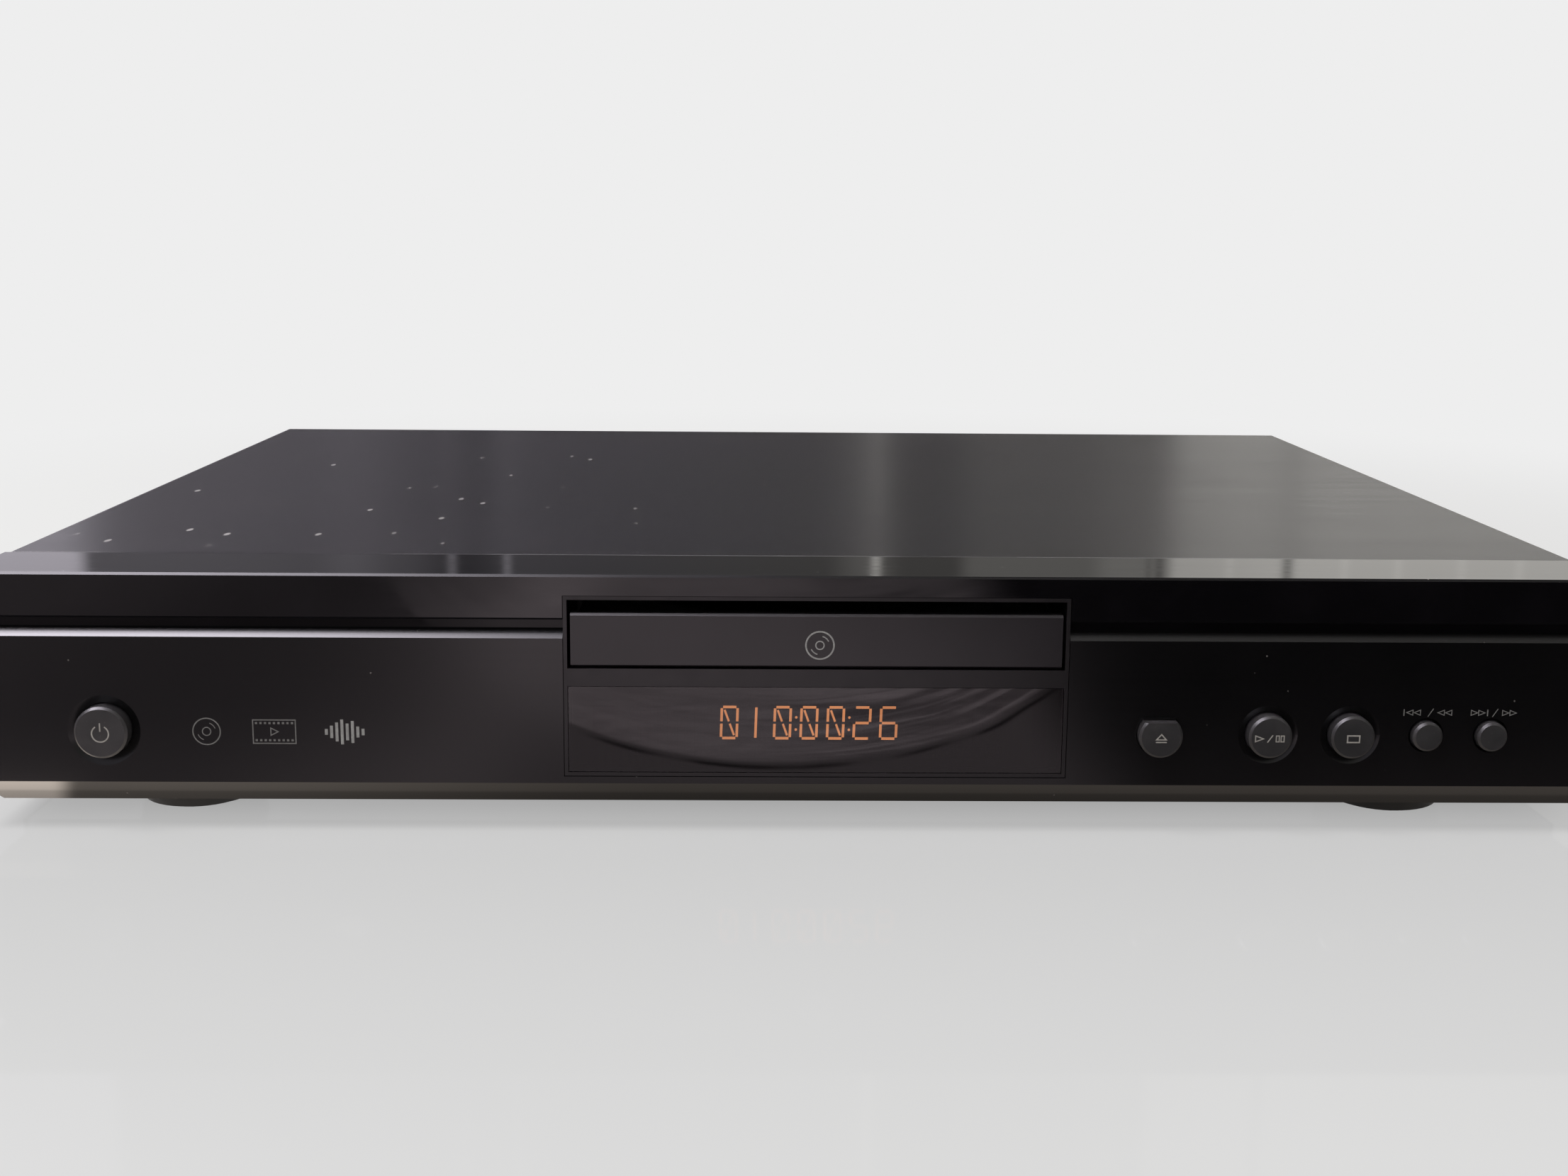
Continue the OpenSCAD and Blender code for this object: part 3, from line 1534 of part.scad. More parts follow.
module feed_motor() {
    color("silver")
        translate([feed_x, feed_y, 0])
            difference() {
                union() {
                    translate([0, 0, deck_z - 12])
                        cylinder(r = 7, h = 12);
                    translate([0, 0, deck_z - eps])
                        cylinder(r = 3, h = deck_t + 0.4);
                }
                translate([0, 0, deck_z - 9])
                    cylinder(r = shaft_r + slip, h = 20);
            }
}

// Moves a piece so that the bounding box of the whole is centred over the origin
module in_frame() {
    translate([0, (button_proud - rear_y - jack_l) / 2, 0])
        children();
}

in_frame() chassis_base();
in_frame() rear_panel();
in_frame() top_cover();
in_frame() front_band();
in_frame() lower_panel();
in_frame() centre_bezel();
in_frame() display_window();
in_frame() standby_button();
in_frame() eject_button();
in_frame() play_button();
in_frame() stop_button();
in_frame() back_button();
in_frame() forward_button();
in_frame() feet();
in_frame() foot_pads();
in_frame() foot_screws();
in_frame() cover_screws();
in_frame() rear_screws();
in_frame() mains_inlet();
in_frame() inlet_pins();
in_frame() jack_housings();
in_frame() jack_barrels();
in_frame() jack_inserts();
in_frame() video_socket();
in_frame() optical_socket();
in_frame() main_board();
in_frame() main_chips();
in_frame() power_board();
in_frame() transformer();
in_frame() capacitors();
in_frame() heat_sink();
in_frame() board_screws();
in_frame() front_board();
in_frame() display_tube();
in_frame() switches();
in_frame() remote_receiver();
in_frame() front_cable();
in_frame() loader_frame();
in_frame() loader_screws();
in_frame() loading_motor();
in_frame() drive_belt();
in_frame() clamp_bridge();
in_frame() disc_tray();
in_frame() tray_door();
in_frame() tray_gear();
in_frame() belt_wheel();
in_frame() motor_pulley();
in_frame() cam_slider();
in_frame() drive_deck();
in_frame() deck_grommets();
in_frame() spindle_motor();
in_frame() guide_rods();
in_frame() feed_motor();
in_frame() turntable();
in_frame() clamper();
in_frame() pickup_sled();
in_frame() lens_holder();
in_frame() feed_gear();
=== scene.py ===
# Looks of a disc player with a motorised tray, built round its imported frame. Metres throughout.
import bpy
import bmesh
import math
from mathutils import Matrix, Vector


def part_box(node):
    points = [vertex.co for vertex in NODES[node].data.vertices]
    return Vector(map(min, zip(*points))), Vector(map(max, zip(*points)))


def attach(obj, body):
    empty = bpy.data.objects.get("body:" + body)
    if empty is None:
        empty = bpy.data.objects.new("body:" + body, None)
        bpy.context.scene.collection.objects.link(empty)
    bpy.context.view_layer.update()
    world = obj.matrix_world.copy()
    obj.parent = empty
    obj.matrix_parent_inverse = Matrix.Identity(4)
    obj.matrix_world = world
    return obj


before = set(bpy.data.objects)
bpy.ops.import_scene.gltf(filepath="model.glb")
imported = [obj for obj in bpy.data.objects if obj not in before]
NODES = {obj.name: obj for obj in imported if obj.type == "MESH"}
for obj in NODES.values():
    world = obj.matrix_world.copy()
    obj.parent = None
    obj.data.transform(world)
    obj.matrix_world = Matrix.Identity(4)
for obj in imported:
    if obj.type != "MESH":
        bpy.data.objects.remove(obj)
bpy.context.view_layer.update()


def lin(*c):
    """0..255 display values to a linear colour."""
    def one(v):
        return v / 12.92 if v <= 0.04045 else ((v + 0.055) / 1.055) ** 2.4
    return tuple(one(v / 255) for v in c)


def shade(c, k):
    return tuple(min(1.0, v * k) for v in c)


def centre(node):
    a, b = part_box(node)
    return (a + b) / 2


# ---------------------------------------------------------------- places and tones used throughout
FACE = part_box("lower_panel")[0].y                       # the front face
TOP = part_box("top_cover")[1].z                          # the cabinet's top
EYE_X, EYE_Y, EYE_Z = -0.01073, -0.58611, 0.16127       # where the camera stands
BACKDROP = lin(238, 238, 238)
HOLE_GRID = 0.00254                                     # between the holes of a circuit board


# ---------------------------------------------------------------- node arithmetic
def feed(tree, socket, v):
    """Sets an input, or links it. v is a number, a colour, a Val or a node's output."""
    if isinstance(v, (Val, bpy.types.NodeSocket)):
        tree.links.new(v.s if isinstance(v, Val) else v, socket)
    else:
        socket.default_value = (*v, 1.0) if isinstance(v, tuple) else v


def math_method(operation):
    """A method of Val that adds one Math node."""
    def method(self, *rest):
        return self.apply(operation, *rest)
    return method


class Val:
    """A number in a node tree. Arithmetic on it adds Math nodes."""

    def __init__(self, tree, socket):
        self.t, self.s = tree, socket

    def apply(self, operation, *rest, clamp=False):
        n = self.t.nodes.new("ShaderNodeMath")
        n.operation = operation
        n.use_clamp = clamp
        for socket, v in zip(n.inputs, (self,) + rest):
            feed(self.t, socket, v)
        return Val(self.t, n.outputs[0])

    __add__ = __radd__ = math_method("ADD")
    __sub__ = math_method("SUBTRACT")
    __mul__ = math_method("MULTIPLY")
    __truediv__ = math_method("DIVIDE")
    power = math_method("POWER")
    min = math_method("MINIMUM")
    max = math_method("MAXIMUM")
    abs = math_method("ABSOLUTE")
    over = math_method("GREATER_THAN")
    sine = math_method("SINE")
    arcsine = math_method("ARCSINE")
    arctan2 = math_method("ARCTAN2")

    def __rsub__(self, other):
        return self.apply("MULTIPLY_ADD", -1.0, other)

    def clamp(self):
        return self.apply("ADD", 0.0, clamp=True)

    def ramp(self, a, b, lo=0.0, hi=1.0):
        """lo at a to hi at b, eased, and held outside."""
        n = self.t.nodes.new("ShaderNodeMapRange")
        n.interpolation_type = "SMOOTHSTEP"
        n.clamp = True
        self.t.links.new(self.s, n.inputs["Value"])
        for k, v in (("From Min", a), ("From Max", b), ("To Min", lo), ("To Max", hi)):
            n.inputs[k].default_value = v
        return Val(self.t, n.outputs["Result"])

    def bump_at(self, c, w):
        """1 at c, falling to 0 at a distance of w."""
        return (self - c).abs().ramp(0, w, 1, 0)

    def waves(self, pitch):
        """0 to 1 and back again in every pitch."""
        return (self * (math.pi / pitch)).sine().abs()


class Tree:
    """Texture and shader helpers for one node tree."""

    def __init__(self, tree, vector="Object"):
        self.t = tree
        self.co = tree.nodes.new("ShaderNodeTexCoord").outputs[vector]
        split = tree.nodes.new("ShaderNodeSeparateXYZ")
        tree.links.new(self.co, split.inputs[0])
        self.x, self.y, self.z = (Val(tree, axis) for axis in split.outputs)

    def node(self, kind, *inputs):
        """The first output of a new node whose first inputs are fed with these."""
        n = self.t.nodes.new("ShaderNode" + kind)
        for socket, v in zip(n.inputs, inputs):
            feed(self.t, socket, v)
        return n.outputs[0]

    def texture(self, kind, scale, offset):
        """A texture node; scale is in features per metre, one number or one for each axis."""
        place = self.t.nodes.new("ShaderNodeMapping")
        place.inputs["Scale"].default_value = scale if isinstance(scale, tuple) else (scale,) * 3
        place.inputs["Location"].default_value = offset
        self.t.links.new(self.co, place.inputs["Vector"])
        n = self.t.nodes.new("ShaderNodeTex" + kind)
        n.inputs["Scale"].default_value = 1.0
        self.t.links.new(place.outputs[0], n.inputs["Vector"])
        return n

    def noise(self, scale, detail=2.0, rough=0.5, warp=0.0, offset=(0, 0, 0)):
        """Smooth noise round 0.5."""
        n = self.texture("Noise", scale, offset)
        for k, v in (("Detail", detail), ("Roughness", rough), ("Distortion", warp)):
            n.inputs[k].default_value = v
        return Val(self.t, n.outputs["Fac"])

    def patches(self, scale, detail=3, lo=0.0, hi=1.0):
        """Soft uneven patches from lo to hi."""
        return self.noise(scale, detail).ramp(0.3, 0.7, lo, hi)

    def specks(self, scale, core, rim, above, offset=(0, 0, 0)):
        """Scattered dots: full within core, gone at rim, where a point's random value is above."""
        n = self.texture("Voronoi", scale, offset)
        lot = Val(self.t, self.node("SeparateColor", n.outputs["Color"]))
        return Val(self.t, n.outputs["Distance"]).ramp(core, rim, 1, 0) * lot.over(above)

    def radius(self, c):
        """Distance from the upright axis through c."""
        return ((self.x - c.x).power(2.0) + (self.y - c.y).power(2.0)).power(0.5)

    def mix(self, fac, a, b):
        """A colour between a and b."""
        n = self.t.nodes.new("ShaderNodeMix")
        n.data_type = "RGBA"
        n.clamp_factor = True
        for i, v in ((0, fac), (6, a), (7, b)):
            feed(self.t, n.inputs[i], v)
        return n.outputs[2]

    def by_ray(self, kind, camera, mirrored, rest):
        """Ends the tree: a shader for the camera, one for reflections, and one for all else."""
        ray = self.t.nodes.new("ShaderNodeLightPath").outputs
        last = self.node("MixShader", ray["Is Glossy Ray"], rest, mirrored)
        last = self.node("MixShader", ray["Is Camera Ray"], last, camera)
        self.t.links.new(last, self.t.nodes.new("ShaderNodeOutput" + kind).inputs[0])


class Finish(Tree):
    """A Principled material in the making."""

    def __init__(self, name, metal=0.0, spec=0.5, ior=1.5, **more):
        self.m = bpy.data.materials.new(name)
        self.m.use_nodes = True
        super().__init__(self.m.node_tree)
        self.put(Metallic=metal, Specular_IOR_Level=spec, IOR=ior, **more)

    def put(self, **values):
        """Feeds the shader's inputs by name, with _ for a space."""
        shader = self.t.nodes["Principled BSDF"]
        for k, v in values.items():
            feed(self.t, shader.inputs[k.replace("_", " ")], v)

    def done(self, colour, rough, *relief):
        """The material, with relief layers of (value, height in metres)."""
        normal = None
        for value, height in relief:
            n = self.t.nodes.new("ShaderNodeBump")
            for k, v in (("Strength", 1.0), ("Distance", height), ("Height", value)):
                feed(self.t, n.inputs[k], v)
            if normal is not None:
                self.t.links.new(normal, n.inputs["Normal"])
            normal = n.outputs[0]
        self.put(Base_Color=colour, Roughness=rough, Normal=normal)
        return self.m


# ---------------------------------------------------------------- kinds of surface
def plastic(name, c, rough, grain=(2500, 6e-6), spec=0.5, vary=0.18, scuffs=0.0, **more):
    """Moulded plastic: slow colour drift, a spark-eroded grain and uneven gloss."""
    f = Finish(name, spec=spec, **more)
    base = f.mix(f.patches(45), shade(c, 1 - vary), shade(c, 1 + vary))
    if scuffs:
        lines = f.noise((60, 900, 900), 3, 0.7).ramp(0.62, 0.74) * f.noise(30).ramp(0.5, 0.7)
        base = f.mix(lines * scuffs, base, shade(c, 3.0))
    gloss = f.noise(160, 4, 0.6).ramp(0.25, 0.75, *rough)
    return f.done(base, gloss, (f.noise(grain[0], 2, 0.6), grain[1]))


def sheet_metal(name, c, rough, along=(25, 1400, 1400), tarnish=0.12, lift=1.5e-6):
    """Rolled or brushed metal: streaks along one direction over a slow tarnish."""
    f = Finish(name, metal=1.0)
    streak = f.noise(along, 3, 0.6)
    cloud = f.noise(28, 4, 0.6)
    base = f.mix(cloud.ramp(0.3, 0.7), shade(c, 1 - tarnish), shade(c, 1 + tarnish * 0.5))
    base = f.mix(streak.ramp(0.35, 0.65, 0, 0.35), base, shade(c, 0.72))
    return f.done(base, (streak * 0.4 + cloud * 0.6).ramp(0.3, 0.7, *rough), (streak, lift))


def coated_metal(name, c, rough, grain):
    """Powder-textured or painted sheet with small light scratches."""
    f = Finish(name)
    base = f.mix(f.patches(40), shade(c, 0.85), shade(c, 1.2))
    base = f.mix(f.specks(900, 0.05, 0.16, 0.93) * 0.5, base, (0.16, 0.155, 0.15))
    return f.done(base, f.patches(300, 3, *rough), (f.noise(grain[0], 3, 0.65), grain[1]))


def rubber(name, c):
    """Dull and grainy, paler where rubbing wore it."""
    f = Finish(name, spec=0.3)
    base = f.mix(f.noise(220, 4, 0.7).ramp(0.35, 0.75), shade(c, 0.8), shade(c, 1.6))
    return f.done(base, f.patches(500, 3, 0.72, 0.9), (f.noise(3000, 3, 0.7), 9e-6))


def circuit_board(name, mask, track, pads, pitch=3.2):
    """Solder mask over copper tracks about a pitch (mm) apart, with tinned pads in a grid."""
    f = Finish(name, Coat_Weight=0.25, Coat_Roughness=0.15)
    few, many = 350 / pitch, 2200 / pitch
    lengthways = f.noise((few, many, 0), 0).ramp(0.5, 0.52)
    crossways = f.noise((many, few, 0), 0, offset=(7, 3, 0)).ramp(0.5, 0.52)
    pick = f.noise((60, 60, 0), 1).ramp(0.48, 0.52)
    tracks = lengthways * pick + crossways * (1 - pick)
    grid = f.x.waves(HOLE_GRID).min(f.y.waves(HOLE_GRID)).ramp(0.86, 0.93)
    pad = grid * f.noise((150, 150, 0), 1).ramp(0.52, 0.56)
    base = f.mix(pad, f.mix(tracks * 0.55, mask, track), pads)
    return f.done(base, f.patches(400, 2, 0.32, 0.5), (tracks, 1.5e-5))


def turned(name, c, node, r0, r1, ring):
    """Fine rings round the node's axis, and a band of another colour from r0 to r1."""
    f = Finish(name)
    rad = f.radius(centre(node))
    base = f.mix(f.patches(120), shade(c, 0.85), shade(c, 1.15))
    base = f.mix(rad.ramp(r0 - 1e-4, r0) * rad.ramp(r1, r1 + 1e-4, 1, 0), base, ring)
    fine = (rad * (2 * math.pi / 0.0004)).sine()
    return f.done(base, f.patches(300, 3, 0.3, 0.45), (fine, 2e-6), (f.noise(2400), 3e-6))


def printed(name, c, rough=0.5, glow=0.0):
    """A screen-printed ink: uneven edges in tone and slight wear."""
    f = Finish(name, spec=0.4)
    if glow:
        f.put(Emission_Strength=glow, Emission_Color=c)
    base = f.mix(f.noise(900, 3, 0.7).ramp(0.35, 0.75), shade(c, 0.82), shade(c, 1.12))
    return f.done(base, f.patches(700, 2, rough, rough + 0.12), (f.noise(3500), 2e-6))


# ---------------------------------------------------------------- the cabinet's outside
def cover_material(name):
    """Satin black paint, drawn out from side to side, with dust, a few smears and a painted
    highlight along its front edge.
    """
    f = Finish(name, Anisotropic=0.65)
    streak = f.noise((4, 700, 200))
    wide = f.noise((2.5, 160, 60), 3, 0.6, offset=(3, 1, 0))
    cloud = f.noise(14, 4, 0.6, warp=0.6)
    drawn = (streak * 0.6 + wide * 0.4).ramp(0.38, 0.62)
    base = f.mix(drawn, lin(23, 22, 24), lin(26, 25, 27))
    base = f.mix(cloud.ramp(0.52, 0.78) * 0.15, base, lin(44, 42, 44))
    # smears that a cloth left
    wipe = f.noise((10, 30, 10), warp=0.6, offset=(5, 2, 0)).ramp(0.50, 0.74)
    base = f.mix(wipe * f.noise(9).ramp(0.48, 0.62) * 0.35, base, lin(52, 50, 51))
    # dust on the top only: specks, more of them to the left and in patches, and a thin film
    top = f.z.ramp(TOP - 2e-4, TOP - 1e-4)
    left = f.x.ramp(0.03, -0.17, 0.12, 1.0)
    patch = f.noise(17, 3, 0.6, offset=(2, 5, 1)).ramp(0.46, 0.66)
    small = f.specks((230, 90, 1), 0.12, 0.26, 0.90) * patch * left
    large = f.specks((120, 50, 1), 0.07, 0.15, 0.88, offset=(3, 8, 0)) * left
    film = f.noise((60, 90, 60), 3, 0.6, offset=(1, 2, 0)).ramp(0.42, 0.75) * 0.004
    base = f.mix((small.max(large) * 0.75 + film) * top, base, lin(196, 192, 190))
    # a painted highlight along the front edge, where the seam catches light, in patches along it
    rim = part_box("top_cover")[0].y
    highlight_patches = f.noise((16, 4, 4), offset=(1.3, 0, 0)).ramp(0.42, 0.62)
    painted_edge_highlight = f.y.ramp(rim + 3e-4, rim + 9e-4, 1, 0) * highlight_patches
    base = f.mix(painted_edge_highlight * 0.85, base, lin(128, 126, 128))
    # the streaks run from side to side, so gloss spreads from front to back
    f.put(Tangent=f.node("CombineXYZ", 0.0, 1.0))
    rough = (wide * 0.5 + cloud * 0.5).ramp(0.3, 0.7, 0.235, 0.258) + wipe * 0.012
    return f.done(base, rough, (streak, 0.6e-6), (f.noise(700), 0.7e-6))


def painted_groove_shade(f, dull=0.0):
    """The back of the groove between the band and the panel mirrors at 0.4 only: painted shade in
    the recess. dull lowers the mirroring elsewhere the same way.
    """
    groove_shade_and_dull = f.y.ramp(FACE + 0.0022, FACE + 0.003).max(dull)
    f.put(Specular_Tint=f.mix(groove_shade_and_dull, (1.0, 1.0, 1.0), (0.4, 0.4, 0.4)))


def band_material(name):
    """Polished black, with hairline rubbing marks, a slight film on its top, and painted shade at
    the back of the groove.
    """
    f = Finish(name, spec=0.43)
    film = f.noise((40, 300, 40), 4, 0.6).ramp(0.4, 0.75)
    speck = f.specks(380, 0.06, 0.13, 0.88) * f.z.ramp(TOP - 3e-4, TOP - 1e-4)
    base = f.mix(film * 0.5, lin(9, 8, 10), lin(17, 15, 18))
    base = f.mix(speck * 0.5, base, lin(150, 146, 142))
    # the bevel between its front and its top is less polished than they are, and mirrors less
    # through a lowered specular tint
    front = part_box("front_band")[0].y
    bevel = f.z.ramp(TOP - 6.3e-4, TOP - 5.7e-4) * f.y.ramp(front + 6.3e-4, front + 5.7e-4)
    hair = f.noise((30, 500, 500), 3, 0.6).ramp(0.35, 0.7, 0.045, 0.08)
    painted_groove_shade(f, bevel * 0.9)
    return f.done(base, hair + film * 0.02 + bevel * 0.17, (f.noise((14, 60, 60), 1), 6e-6))


def panel_material(name):
    """Satin black with a fine hairline from side to side, and painted shade at the back of the
    groove.
    """
    f = Finish(name, spec=0.45)
    hair = f.noise((7, 700, 2400), 3, 0.65)
    cloud = f.noise(22, 3)
    base = f.mix(cloud.ramp(0.3, 0.7), lin(5, 5, 6), lin(9, 8, 9))
    base = f.mix(f.specks(330, 0.05, 0.1, 0.93) * 0.6, base, lin(120, 116, 112))
    # painted shade: the back of the groove mirrors less
    painted_groove_shade(f)
    return f.done(base, hair.ramp(0.3, 0.7, 0.225, 0.245) + cloud * 0.02, (hair, 0.25e-6))


def window_material(name):
    """Smoked acrylic, polished, and not quite flat."""
    f = Finish(name, ior=1.49, Transmission_Weight=1.0)
    base = f.mix(f.patches(30, 2), (0.105, 0.092, 0.1), (0.125, 0.112, 0.118))
    return f.done(base, f.noise(200, 3).ramp(0.4, 0.8, 0.015, 0.04),
                  (f.noise((16, 16, 40), 1, 0.4), 1.2e-4), (f.noise((70, 70, 90), 1), 1.2e-5))


def door_material(name):
    """Satin black like the panel, a little duller."""
    f = Finish(name, spec=0.46)
    hair = f.noise((9, 800, 1800), 3, 0.6)
    base = f.mix(f.patches(25), lin(20, 18, 20), lin(28, 25, 28))
    return f.done(base, hair.ramp(0.3, 0.7, 0.285, 0.305), (hair, 0.3e-6), (f.noise(2600), 1.5e-6))


def button_material(name):
    """Satin caps, finely grained, with a few pale specks."""
    f = Finish(name)
    base = f.mix(f.patches(90), lin(38, 37, 38), lin(52, 50, 51))
    base = f.mix(f.specks(1500, 0.08, 0.2, 0.9) * 0.35, base, lin(110, 108, 106))
    gloss = f.noise(500, 4, 0.6).ramp(0.3, 0.7, 0.34, 0.46)
    return f.done(base, gloss, (f.noise(4200, 2, 0.6), 5e-6))


def insert_material(name):
    """One material for the seven insulators; each one's colour goes by its place."""
    f = Finish(name)
    a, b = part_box("jack_inserts")
    middle = (a.z + b.z) / 2
    upper = f.z.ramp(middle - 1e-4, middle + 1e-4)
    columns = [f.mix(upper, lin(*low), lin(*high)) for low, high in (
        ((190, 28, 24), (214, 210, 204)),
        ((206, 96, 22), (206, 172, 28)),
        ((26, 62, 168), (26, 122, 58)),
        ((190, 28, 24), (190, 28, 24)))]
    base = columns[0]
    first, step = a.x - 0.0006, 0.01545
    for i in (1, 2, 3):
        base = f.mix(f.x.over(first + i * step), base, columns[i])
    base = f.mix(f.noise(500, 3).ramp(0.3, 0.8) * 0.12, base, lin(60, 55, 50))
    return f.done(base, f.patches(600, 3, 0.3, 0.42), (f.noise(2500), 4e-6))


# ---------------------------------------------------------------- parts inside
def tube_material(name):
    """Dark glass of the display tube, with the faint mesh of its unlit segments."""
    f = Finish(name)
    mesh = f.x.waves(0.0009).max(f.z.waves(0.0009))
    base = f.mix(mesh.ramp(0.93, 0.99) * 0.6, lin(16, 17, 19), lin(42, 42, 44))
    return f.done(base, f.patches(120, 2, 0.08, 0.14), (f.noise(60), 4e-6))


def transformer_material(name):
    """Yellow tape round the winding, dark ferrite outside it."""
    f = Finish(name)
    a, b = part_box("transformer")
    width = b.x - a.x
    core = (f.x - centre("transformer").x).abs().ramp(width * 0.33, width * 0.34)
    wrap = f.noise((20, 20, 900)).ramp(0.4, 0.6)
    base = f.mix(core, f.mix(wrap, lin(196, 150, 36), lin(222, 178, 62)), lin(58, 58, 60))
    return f.done(base, f.patches(300, 3, 0.35, 0.6), (wrap, 1e-5), (f.noise(2200, 3), 1e-5))


def can_material(name):
    """Shrink sleeve with a pale stripe down one side, and a stamped aluminium top."""
    f = Finish(name)
    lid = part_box("capacitors")[1].z
    stripe = f.noise((90, 90, 0), 0, offset=(4, 4, 0)).ramp(0.66, 0.67)
    body = f.mix(stripe, lin(28, 30, 58), lin(150, 152, 158))
    base = f.mix(f.z.ramp(lid - 6e-4, lid - 4e-4), body, lin(176, 178, 180))
    return f.done(base, f.patches(300, 3, 0.29, 0.4), (f.noise((300, 300, 60)), 1.2e-5))


def cable_material(name):
    """Flat grey ribbon with one coloured wire at its edge."""
    f = Finish(name, spec=0.4)
    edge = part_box("front_cable")[0].x
    wires = f.x.waves(0.00127)
    base = f.mix(wires.ramp(0.1, 0.5), lin(120, 120, 120), lin(188, 188, 186))
    base = f.mix(f.x.ramp(edge + 1.1e-3, edge + 1.3e-3, 1, 0), base, lin(150, 40, 36))
    return f.done(base, f.patches(200, 3, 0.45, 0.6), (wires, 2e-4))


def chip_material(name):
    """Moulded packages with bright legs along their long edges."""
    f = Finish(name, spec=0.4)
    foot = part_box("main_chips")[0].z
    legs = f.x.waves(0.0008).ramp(0.6, 0.7) * f.z.ramp(foot + 6e-4, foot + 7e-4, 1, 0)
    body = f.mix(f.patches(60, 2), lin(26, 26, 27), lin(36, 36, 37))
    base = f.mix(legs, body, lin(186, 186, 184))
    return f.done(base, f.patches(900, 3, 0.5, 0.66), (f.noise(3800, 3), 8e-6))


def lens_material(name):
    """Black holder round a coated lens."""
    f = Finish(name, Coat_Weight=0.5, Coat_Roughness=0.03)
    rad = f.radius(centre("lens_holder"))
    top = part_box("lens_holder")[1].z
    eye = rad.ramp(0.0019, 0.0021, 1, 0) * f.z.ramp(top - 8e-4, top - 6e-4)
    glass = f.mix(rad.ramp(0, 0.0019), lin(52, 74, 170), lin(36, 20, 84))
    base = f.mix(eye, lin(24, 24, 27), glass)
    return f.done(base, eye.ramp(0, 1, 0.45, 0.05), (f.noise(2500), 4e-6))


GREEN = lin(20, 74, 44), lin(46, 112, 62), lin(196, 192, 176)
BROWN = lin(160, 118, 74), lin(176, 132, 84), lin(190, 188, 180)
slots = {
    # the cabinet
    "cover_paint": cover_material,
    "chassis_steel": lambda n: sheet_metal(n, lin(196, 198, 200), (0.28, 0.42)),
    "panel_black": panel_material,
    "gloss_black": band_material,
    "bezel_black": lambda n: plastic(n, lin(15, 13, 15), (0.29, 0.37), (2400, 3e-6),
                                     spec=0.42, vary=0.12),
    "window_smoke": window_material,
    "button_black": button_material,
    "foot_plastic": lambda n: plastic(n, lin(24, 24, 24), (0.4, 0.55), (1600, 1.2e-5), scuffs=0.25),
    "pad_rubber": lambda n: rubber(n, lin(40, 40, 40)),
    "screw_black": lambda n: coated_metal(n, lin(44, 44, 46), (0.3, 0.42), (2500, 4e-6)),
    "screw_zinc": lambda n: sheet_metal(n, lin(206, 205, 198), (0.29, 0.38), (500, 500, 500)),
    "rear_paint": lambda n: coated_metal(n, lin(46, 46, 48), (0.42, 0.55), (1500, 2.2e-5)),
    # the sockets
    "socket_black": lambda n: plastic(n, lin(30, 30, 31), (0.36, 0.5), (2200, 8e-6), scuffs=0.15),
    "pin_metal": lambda n: sheet_metal(n, lin(226, 212, 170), (0.16, 0.3), (700, 700, 60)),
    "barrel_metal": lambda n: sheet_metal(n, lin(224, 221, 214), (0.14, 0.26), (600, 60, 600)),
    "insert_colours": insert_material,
    # the boards
    "board_green": lambda n: circuit_board(n, *GREEN),
    "board_brown": lambda n: circuit_board(n, *BROWN, 4.5),
    "chip_black": chip_material,
    "transformer_parts": transformer_material,
    "can_sleeve": can_material,
    "heat_sink_alu": lambda n: sheet_metal(n, lin(206, 207, 209), (0.3, 0.42), (1200, 1200, 20)),
    "tube_glass": tube_material,
    "switch_black": lambda n: plastic(n, lin(40, 40, 41), (0.42, 0.55)),
    "receiver_dark": lambda n: plastic(n, lin(46, 20, 30), (0.08, 0.16), (600, 2e-6)),
    "cable_grey": cable_material,
    # the loader and its tray
    "loader_black": lambda n: plastic(n, lin(34, 34, 35), (0.38, 0.52), (1800, 1e-5), scuffs=0.2),
    "motor_steel": lambda n: sheet_metal(n, lin(206, 206, 203), (0.29, 0.38), (700, 700, 40)),
    "belt_rubber": lambda n: rubber(n, lin(26, 26, 26)),
    "bridge_steel": lambda n: sheet_metal(n, lin(200, 200, 200), (0.29, 0.4)),
    "tray_black": lambda n: plastic(n, lin(27, 27, 28), (0.42, 0.56), (1500, 1.4e-5), scuffs=0.18),
    "door_black": door_material,
    "gear_ivory": lambda n: plastic(n, lin(230, 226, 212), (0.34, 0.46), (1500, 4e-6), vary=0.04,
                                    Subsurface_Weight=0.12, Subsurface_Scale=0.002),
    "pulley_brass": lambda n: sheet_metal(n, lin(218, 186, 116), (0.16, 0.28), (500, 500, 1500)),
    # the drive
    "deck_steel": lambda n: sheet_metal(n, lin(188, 188, 188), (0.29, 0.4), (1400, 25, 1400)),
    "grommet_rubber": lambda n: rubber(n, lin(34, 34, 34)),
    "rod_steel": lambda n: sheet_metal(n, lin(230, 230, 230), (0.08, 0.16), (900, 40, 900),
                                       0.04, 4e-7),
    "turntable_black": lambda n: turned(n, lin(38, 38, 40), "turntable",
                                        0.0105, 0.0128, lin(22, 22, 22)),
    "clamper_black": lambda n: turned(n, lin(40, 40, 42), "clamper",
                                      0.003, 0.0085, lin(150, 150, 148)),
    "sled_alloy": lambda n: plastic(n, lin(100, 100, 102), (0.36, 0.5), (1300, 1.4e-5), vary=0.1),
    "lens_blue": lens_material,
}
slot_of = {name: obj.material_slots[0].material.name.split(".")[0] for name, obj in NODES.items()}
for old in {obj.material_slots[0].material for obj in NODES.values()}:
    old.name = "plain_" + old.name
made = {}
for name, obj in NODES.items():
    slot = slot_of[name]
    if slot not in made:
        made[slot] = slots[slot](slot)
    obj.material_slots[0].material = made[slot]


